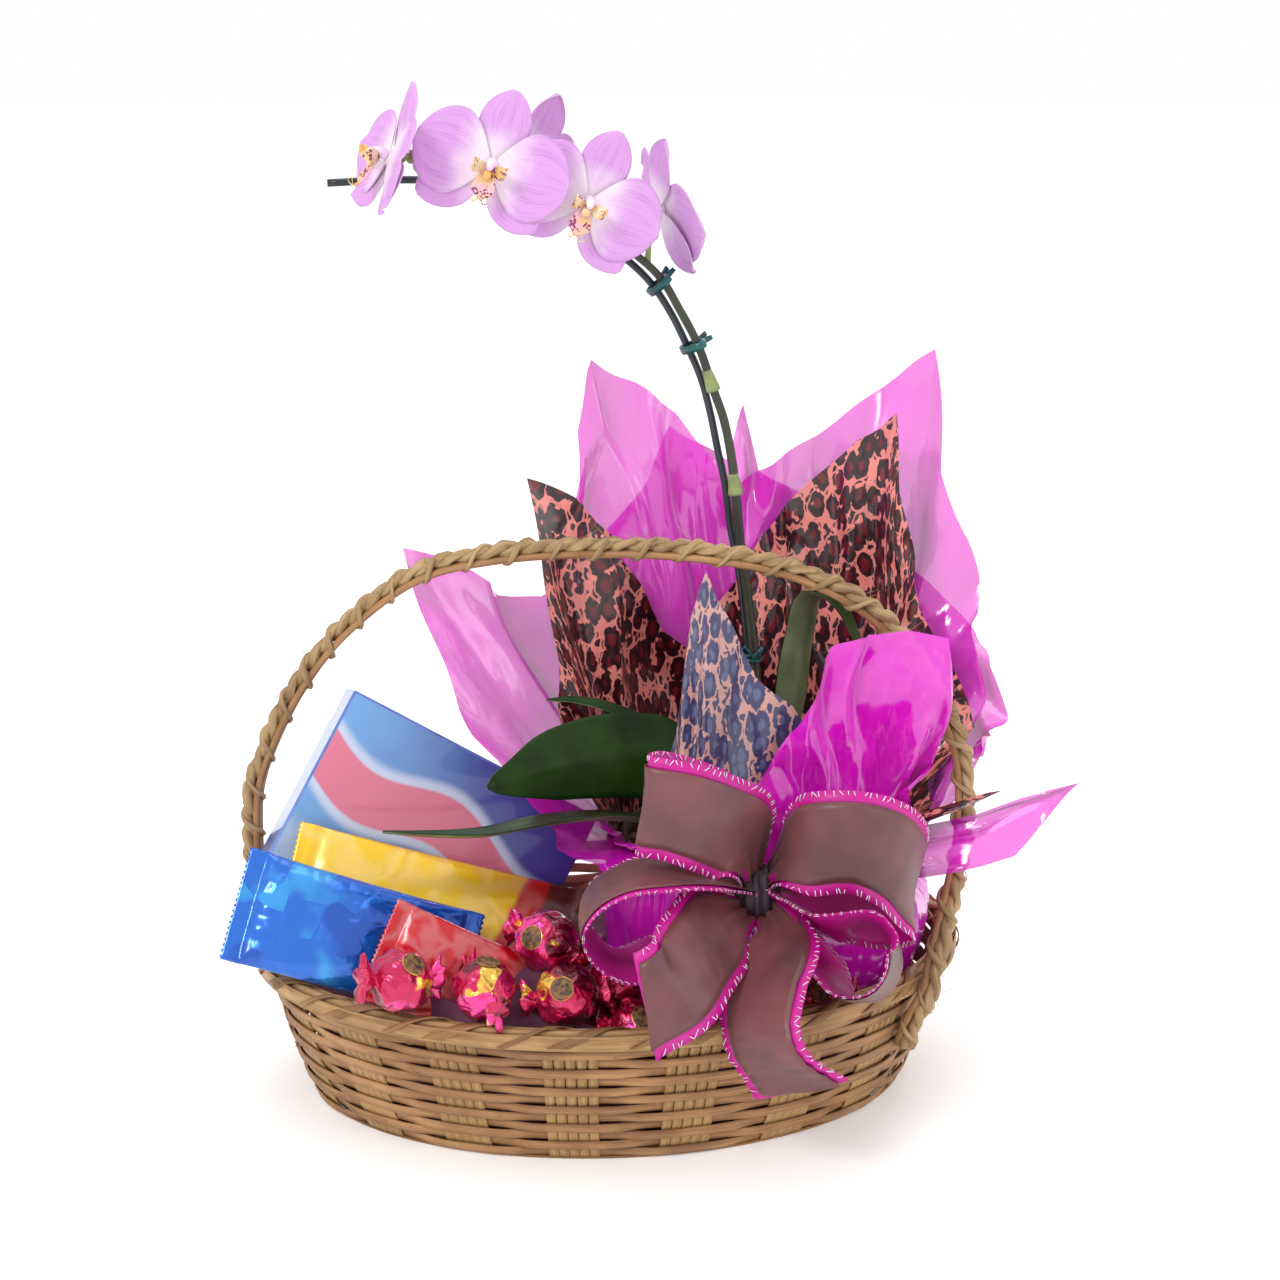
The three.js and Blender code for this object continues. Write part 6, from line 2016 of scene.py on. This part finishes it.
@dataclass
class Bonbon:
    """A twist-wrapped bonbon with a round label."""

    number: int
    at: tuple[float, float, float]
    yaw: float
    pitch: float

    def radius(self, x: float, a: float) -> float:
        """The wrap's radius at a place along it and an angle round it."""
        body = 14.8 * max(0.0, 1 - abs(x / 15) ** 2.4) ** 0.5 if abs(x) < 15 else 0.0
        neck = 2.6 + 0.4 * math.cos(a * 4)
        fan = ease(abs(x), 14.0, 22.0) * 7.4
        twist = a * 7 + (abs(x) - 11) * 0.5
        pleats = 0.16 * math.sin(twist) * ease(abs(x), 7, 13)
        crease = 0.09 * ripple(x * 0.17, math.cos(a) * 1.9 + self.number * 3, math.sin(a) * 1.9)
        flare = 1 + 0.28 * math.sin(a * 5 + self.number) * ease(abs(x), 15, 22)
        return max(body, neck + fan * flare) * (1 + pleats + crease)

    def build(self, foil: Material, label: Material, gold: Material) -> None:
        """The bonbon, replacing its node."""
        draft = Draft()
        loops = []
        for i in range(67):
            x = mix(-22, 22, i / 66)
            lip = 1.3 if i in (0, 66) else 0.0
            ring = []
            for j in range(36):
                a = j / 36 * TAU
                r = self.radius(x, a) - lip
                flat = 1 - 0.42 * ease(abs(x), 14, 21)
                edge = 0.9 * math.sin(a * 6 + self.number) * ease(abs(x), 18, 22) * (1 if x > 0 else -1)
                ring.append(Vector((x + edge, r * math.cos(a) * flat, r * math.sin(a))))
            loops.append(ring)
        draft.loft(loops)
        pitched = Matrix.Rotation(math.radians(self.pitch), 4, "Y")
        turn = Matrix.Rotation(math.radians(self.yaw), 4, "Z") @ pitched
        rng = random.Random(self.number)
        toward = Vector((rng.uniform(-0.5, 0.4), -0.8, rng.uniform(0.3, 0.9)))
        facing = turn.inverted().to_3x3() @ toward
        self.label(draft, math.atan2(facing.z, facing.y))
        draft.moved(Matrix.Translation(Vector(self.at)) @ turn)
        draft.object(f"wrapped_bonbon_{self.number}", [foil, label, gold], "foil", [f"bonbon_{self.number}"])

    def label(self, draft: Draft, angle: float) -> None:
        """A round label with a plain ring, bent over the body at an angle round it."""
        sides = 28
        for finish, inner, outer, lift in ((1, 0.0, 5.9, 0.9), (2, 5.6, 5.85, 1.0)):
            rings = []
            for radius in (inner, mix(inner, outer, 0.5), outer):
                ring = []
                for j in range(sides):
                    a = j / sides * TAU
                    x, turn = radius * math.cos(a), angle + radius * math.sin(a) / 14.8
                    r = 14.8 * max(0.05, 1 - abs(x / 15) ** 2.4) ** 0.5 + lift
                    ring.append(Vector((x, r * math.cos(turn), r * math.sin(turn))))
                rings.append(ring)
            back = [[p * 0.975 for p in ring] for ring in rings]
            draft.grid(rings, ring=True, finish=finish)
            draft.grid(back, ring=True, finish=finish, flip=True)
            draft.grid([rings[-1], back[-1]], ring=True, finish=finish)
            if inner:
                draft.grid([back[0], rings[0]], ring=True, finish=finish)


@dataclass
class Sweets:
    """Carton, bonbon places and the crumpled paper under them."""

    carton: tuple[float, float, float] = (146.0, 98.0, 30.0)
    carton_corner: tuple[float, float, float] = (-128.0, 30.0, 202.0)
    bonbons: tuple = (
        ((-110, -103, 96), 28, 12), ((-70, -106, 91), -75, 5), ((-30, -107, 86), -10, -8),
        ((-38, -78, 103), -40, 10), ((-2, -83, 84), 170, 0), ((5, -107, 68), 0, 6),
        ((58, -100, 76), -5, -5), ((95, -83, 66), 5, 0),
    )
    low_spots: tuple = (
        (-122, -45, 84), (-75, -60, 82), (-120, 20, 84), (-60, 30, 62), (-100, 70, 58), (0, 80, 45),
        (90, 100, 40), (165, 20, 40), (-20, 0, 60), (60, -80, 58), (140, -50, 45),
    )

    def box(self, printed: Material, side: Material) -> None:
        """The flat carton with rounded edges, and a thin printed sheet on its front."""
        long, high, thick = self.carton
        draft = Draft()
        loops = []
        soft = 1.2
        face = thick / 2
        for z, inset in ((-face, soft), (-face + soft, 0.0), (face - soft, 0.0), (face, soft)):
            ring = []
            for sx, sy, start in ((1, 1, 0), (-1, 1, 90), (-1, -1, 180), (1, -1, 270)):
                for n in range(5):
                    a = math.radians(start + n * 22.5)
                    x = sx * (long / 2 - inset - soft) + soft * math.cos(a)
                    ring.append(Vector((x, sy * (high / 2 - inset - soft) + soft * math.sin(a), z)))
            loops.append(ring)
        draft.loft(loops, 1)
        rows = []
        for i in range(31):
            x = mix(-long, long, i / 30) / 2 * 0.983
            rows.append([Vector((x, mix(high, -high, j / 22) / 2 * 0.976, face + 0.12)) for j in range(23)])
        draft.blade(rows, 0.2)
        draft.moved(leaning(self.carton_corner, 30.6, 16, self.carton))
        draft.object("flat_carton", [printed, side], "carton", ["assortment_box"], flat=True)

    def bed_height(self, x: float, y: float) -> float:
        """How high the crumpled paper lies at a place."""
        spots = [*((at[0], at[1], at[2] - 11) for at, _, _ in self.bonbons), *self.low_spots]
        total = weights = 0.0
        for sx, sy, height in spots:
            weight = 1 / (((x - sx) ** 2 + (y - sy) ** 2) ** 1.5 + 300)
            total += weight * height
            weights += weight
        return total / weights

    def bed(self, paper: Material) -> None:
        """Crumpled paper: a heap with sharp creases, flat underneath."""
        draft = Draft()
        rings, around = 44, 150
        rows = []
        for i in range(rings + 1):
            share = 1 - i / rings * 0.985
            row = []
            for j in range(around):
                t = j / around * TAU
                x, y = 159 * share * math.cos(t), 114 * share * math.sin(t)
                crease = abs(ripple(x * 0.045, y * 0.045)) * 7 + abs(ripple(x * 0.12, y * 0.12, 4)) * 3
                height = self.bed_height(x, y) - 5 + crease
                row.append(Vector((x, y, min(height, 60 if i == 0 else 96))))
            rows.append(row)
        rows.insert(0, [Vector((146 * math.cos(t), 101 * math.sin(t), 4.6)) for t in circle(around)])
        draft.loft(rows)
        draft.object("crumpled_paper", [paper], "paper", ["packing_bed"])


# Pot and bark


@dataclass
class Potting:
    """The plastic pot and the bark in it."""

    centre: tuple[float, float] = (78.0, 8.0)
    base: float = 8.6
    top: float = 126.0
    base_radius: float = 50.0
    rim_radius: float = 70.6

    def pot(self, plastic: Material) -> None:
        """The pot: a thin tapered cup with a rolled rim and shallow ribs."""
        shape = [
            (1.0, self.base), (self.base_radius - 2, self.base), (self.base_radius, self.base + 2),
            (68.4, self.top - 8), (self.rim_radius, self.top - 7), (self.rim_radius, self.top - 1),
            (self.rim_radius - 0.8, self.top), (67.2, self.top), (67.0, self.top - 6),
            (self.base_radius - 2, self.base + 3), (1.0, self.base + 3),
        ]
        loops = []
        for r, z in shape:
            x, y = self.centre
            loop = []
            for j, t in enumerate(circle(96)):
                k = 1 + 0.006 * max(0.0, math.cos(j / 8 * TAU)) * (20 < z < 115)
                loop.append(Vector((x + r * k * math.cos(t), y + r * k * math.sin(t), z)))
            loops.append(loop)
        draft = Draft()
        draft.loft(loops)
        draft.object("plastic_pot", [plastic], "pot_plastic", ["nursery_pot"])

    def bark(self, chips: Material) -> None:
        """Bark chips heaped to just under the rim."""
        rng = random.Random(3)
        draft = Draft()
        x, y = self.centre
        body = []
        for r, z in ((44, self.base + 4), (62, 116), (52, 119), (4, 120)):
            body.append([Vector((x + r * math.cos(t), y + r * math.sin(t), z)) for t in circle(40)])
        draft.loft(body)
        for _ in range(260):
            reach, t = 61 * math.sqrt(rng.random()), rng.uniform(0, TAU)
            size = Vector((rng.uniform(5, 10), rng.uniform(3.5, 7), rng.uniform(1.6, 3.2)))
            turn = Matrix.Rotation(rng.uniform(0, TAU), 4, "Z")
            turn = turn @ Matrix.Rotation(rng.uniform(-0.5, 0.5), 4, "X")
            at = (x + reach * math.cos(t), y + reach * math.sin(t), rng.uniform(118, 121.5))
            place = Matrix.Translation(Vector(at))
            first = len(draft.points)
            loops = []
            for z, grow in ((-1, 0.75), (-0.2, 1.0), (0.5, 0.95), (1, 0.6)):
                ring = []
                for j in range(7):
                    a = j / 7 * TAU
                    wobble = grow * rng.uniform(0.75, 1.1)
                    chip_x, chip_y = size.x * wobble * math.cos(a), size.y * wobble * math.sin(a)
                    ring.append(Vector((chip_x, chip_y, size.z * z)))
                loops.append(ring)
            draft.loft(loops)
            draft.moved(place @ turn, first)
        draft.object("bark_chips", [chips], "bark", ["potting_bark"], flat=True)


# Stage


@dataclass
class Studio:
    """Floor, light and camera."""

    eye: tuple[float, float, float] = (-0.121, -1.3312, 0.6167)
    aim: tuple[float, float, float] = (0.0173, 0.0074, 0.2309)
    lens: float = 77.26
    sensor: float = 36.0

    def floor(self) -> None:
        """A pale floor with a faint grain."""
        mesh = bpy.data.meshes.new("floor")
        ring = [(6 * math.cos(n / 64 * TAU), 6 * math.sin(n / 64 * TAU), 0.0) for n in range(64)]
        mesh.from_pydata(ring, [], [tuple(range(64))])
        glow = (("Emission Color", (1, 1, 1, 1)), ("Emission Strength", 0.16))
        tones = {"first": (0.9, 0.9, 0.9, 1), "second": (0.93, 0.93, 0.93, 1)}
        white = Mottled("pale_floor", 0.9, 0.0, glow, **tones, scale=2.0)
        mesh.materials.append(white.material())
        plane = bpy.data.objects.new("floor", mesh)
        bpy.context.scene.collection.objects.link(plane)

    def light(self, name: str, at: Sequence[float], size: float, power: float) -> None:
        """One soft area light that looks at the object."""
        data = bpy.data.lights.new(name, "AREA")
        data.shape = "DISK"
        data.size = size
        data.energy = power
        lamp = bpy.data.objects.new(name, data)
        lamp.location = at
        lamp.rotation_euler = (Vector(self.aim) - Vector(at)).to_track_quat("-Z", "Y").to_euler()
        bpy.context.scene.collection.objects.link(lamp)

    def build(self) -> None:
        """Floor, four lights, a white world and the camera."""
        self.floor()
        self.light("key", (-1.3, -1.5, 1.9), 0.8, 22)
        self.light("fill", (1.7, -1.2, 0.9), 1.2, 5)
        self.light("top", (0.1, 0.3, 2.2), 1.4, 9)
        self.light("rim", (0.9, 1.7, 1.1), 0.8, 7)
        world = bpy.data.worlds.new("studio_white")
        world.use_nodes = True
        sky = world.node_tree.nodes["Background"]
        sky.inputs["Color"].default_value = (1, 1, 1, 1)
        sky.inputs["Strength"].default_value = 1.0
        scene = bpy.context.scene
        scene.world = world
        scene.view_settings.view_transform = "Standard"
        data = bpy.data.cameras.new("camera")
        data.lens = self.lens
        data.sensor_width = self.sensor
        camera = bpy.data.objects.new("camera", data)
        camera.location = self.eye
        camera.rotation_euler = (Vector(self.aim) - Vector(self.eye)).to_track_quat("-Z", "Y").to_euler()
        scene.collection.objects.link(camera)
        scene.camera = camera


# Assembly


def build_basket() -> None:
    """Basket and handle."""
    rows = Cane("bamboo_rows", relief=0.00025, light=colour(186, 140, 92), dark=colour(112, 72, 42))
    stakes = Cane("bamboo_stakes", relief=0.0003, light=colour(200, 160, 106), dark=colour(122, 82, 48))
    golden = Cane("golden_splint", relief=0.00025, light=colour(160, 116, 72), dark=colour(106, 70, 40))
    straw = Cane(
        "twisted_straw", 0.8, 0.0004, light=colour(196, 164, 118), dark=colour(116, 84, 52), fineness=1.2,
    )
    basket = Basket()
    basket.wall(rows.material(), stakes.material())
    basket.floor(rows.material(), stakes.material())
    basket.border(stakes.material(), golden.material())
    handle = Handle()
    handle.strip(rows.material())
    handle.rope(straw.material())


def build_plant() -> None:
    """Pot, bark and the orchid."""
    plastic = Mottled("grey_brown_pot", 0.45, 0.00004, first=colour(72, 58, 52), second=colour(84, 68, 60))
    chips = Cane("bark_chips", 0.9, 0.0006, light=colour(120, 78, 48), dark=colour(52, 32, 22), fineness=0.5)
    potting = Potting()
    potting.pot(plastic.material())
    potting.bark(chips.material())
    waxy = (("Specular IOR Level", 0.16),)
    green = Leaf("leaf_upper", 0.4, 0.00003, waxy)
    under = Leaf("leaf_under", 0.5, 0.00003, waxy, upper=colour(122, 134, 96), deep=colour(88, 104, 70))
    root = Mottled("silver_root", 0.7, 0.0001, first=colour(168, 172, 146), second=colour(120, 136, 96))
    olive = Mottled(
        "spike_green", 0.45, 0.00008, first=colour(50, 56, 36), second=colour(36, 34, 32), scale=30.0,
    )
    pale = Mottled(
        "stalk_green", 0.45, 0.00008, first=colour(142, 156, 96), second=colour(108, 114, 76), scale=60.0,
    )
    wire = Mottled(
        "coated_wire", 0.32, 0.00003, first=colour(34, 44, 52), second=colour(24, 32, 40), scale=40.0,
    )
    teal = Mottled("teal_plastic", 0.35, 0.00003, first=colour(12, 84, 86), second=colour(8, 62, 66))
    petal = Tepal("lilac_petal", 0.6, 0.00005, (("Specular IOR Level", 0.2),))
    yellow = Spotted("lip_yellow", 0.45)
    pink = Spotted("lip_pink", 0.45, ground=colour(228, 176, 196), second=colour(226, 182, 112), amount=0.55)
    white = Spotted(
        "column_white", 0.45, ground=colour(244, 232, 244), second=colour(228, 190, 228), amount=0.1,
    )
    plant = Plant()
    for name in LEAF_AXES:
        plant.leaf(name, green.material(), under.material())
    plant.crown(green.material(), root.material())
    plant.spike(olive.material(), pale.material())
    plant.wire(wire.material())
    plant.clips(teal.material())
    for bloom in BLOOMS:
        bloom.tepals(petal.material())
        bloom.lip(yellow.material(), pink.material(), white.material())


def build_wrap() -> None:
    """Films, tie and bow."""
    gloss = (("Coat Weight", 0.6), ("Coat Roughness", 0.08))
    inside = PrintedFilm("print_inside", 0.3, 0.0006, gloss)
    outside = PrintedFilm(
        "print_outside", 0.34, 0.0006, gloss,
        ground=colour(196, 146, 138), ring=colour(52, 50, 92), middle=colour(84, 92, 128),
    )
    magenta = ClearFilm(
        "magenta_cellophane", 0.12, 0.0009, (("Specular IOR Level", 0.8), ("Coat Weight", 0.5)),
    )
    wrap = Wrap()
    wrap.printed(inside.material(), outside.material())
    wrap.clear(1, magenta.material())
    wrap.clear(2, magenta.material())
    satin = Cloth("brown_satin", 0.34, 0.00002, (("Sheen Weight", 0.08), ("Anisotropic", 0.4)))
    sheer = ClearFilm(
        "sheer_ribbon", 0.4, 0.0002,
        tint=colour(206, 20, 150), deep=colour(176, 8, 124), cover=(0.8, 0.98), crease=40.0,
    )
    thread = Mottled(
        "white_thread", 0.6, 0.0001, first=colour(240, 236, 240), second=colour(214, 206, 216),
        scale=300.0,
    )
    wrap.band(sheer.material())
    bow = Bow()
    for strip in BOW_STRIPS:
        bow.loop(strip, satin.material(), sheer.material(), thread.material())
    # The knot's satin is the loops' satin painted darker: painted shade round the knot.
    shaded = Cloth("shaded_knot_satin", 0.5, 0.00002, light=colour(58, 28, 46), dark=colour(36, 16, 32))
    bow.knot(shaded.material())


def build_sweets() -> None:
    """Carton, packs, bonbons and paper."""
    wrapped = (("Coat Weight", 0.8), ("Coat Roughness", 0.06))
    shiny = (("Metallic", 0.25), ("Coat Weight", 0.5), ("Coat Roughness", 0.1))
    picture = WavePrint("carton_print", 0.3, 0.00005, wrapped)
    side = Mottled(
        "carton_side", 0.3, 0.00005, wrapped, first=colour(66, 94, 170), second=colour(96, 132, 200),
    )
    yellow = PrintedWrap("yellow_print", 0.26, 0.0006, shiny, split=(0.128, 0.142))
    blue = Foil(
        "blue_print", 0.2, 0.0008, (("Metallic", 0.4), ("Coat Weight", 0.6)),
        bright=colour(44, 148, 220), base=colour(18, 100, 202), shade=colour(12, 78, 180),
        accent=colour(12, 56, 150), crease=60.0,
    )
    red = PrintedWrap(
        "red_print", 0.24, 0.0007, shiny,
        ground=colour(196, 14, 30), field=colour(228, 214, 214), third=colour(168, 10, 26),
        split=(0.088, 0.098), crease=60.0, slope=-0.5,
    )
    # The pink foil's bright and shaded facet tones are painted highlight and painted shade on its crumpled
    # facets.
    foil = Foil(
        "pink_foil", 0.18, 0.0012, (("Metallic", 0.65), ("Coat Weight", 0.7), ("Coat Roughness", 0.05)),
    )
    label = Mottled(
        "dark_label", 0.6, 0.00002, first=colour(40, 16, 24), second=colour(142, 100, 54), scale=420.0,
    )
    gold = Mottled(
        "gold_ring", 0.28, 0.00002, (("Metallic", 0.9),), first=colour(226, 178, 84),
        second=colour(204, 150, 62),
    )
    paper = Mottled(
        "crumpled_paper", 0.8, 0.0004, first=colour(120, 60, 92), second=colour(86, 40, 66), scale=25.0,
        grain=260.0,
    )
    sweets = Sweets()
    sweets.bed(paper.material())
    sweets.box(picture.material(), side.material())
    FlowPack("yellow_bar", (-156, -5, 145), 16.7, 34, (156, 58, 11), slack=0.7).build(yellow.material())
    FlowPack("blue_pack", (-179, -43, 147), 19.5, 33, (122, 58, 22), slack=1.6).build(blue.material())
    FlowPack("red_pack", (-108, -75, 127), 27, 22, (108, 52, 14)).build(red.material())
    for n, (at, yaw, pitch) in enumerate(sweets.bonbons):
        Bonbon(n + 1, at, yaw, pitch).build(foil.material(), label.material(), gold.material())


def main() -> None:
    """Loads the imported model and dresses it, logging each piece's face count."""
    logging.basicConfig(level=logging.INFO, format="%(name)s %(message)s")
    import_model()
    Studio().build()
    build_basket()
    build_plant()
    build_wrap()
    build_sweets()


if __name__ == "__main__":
    main()
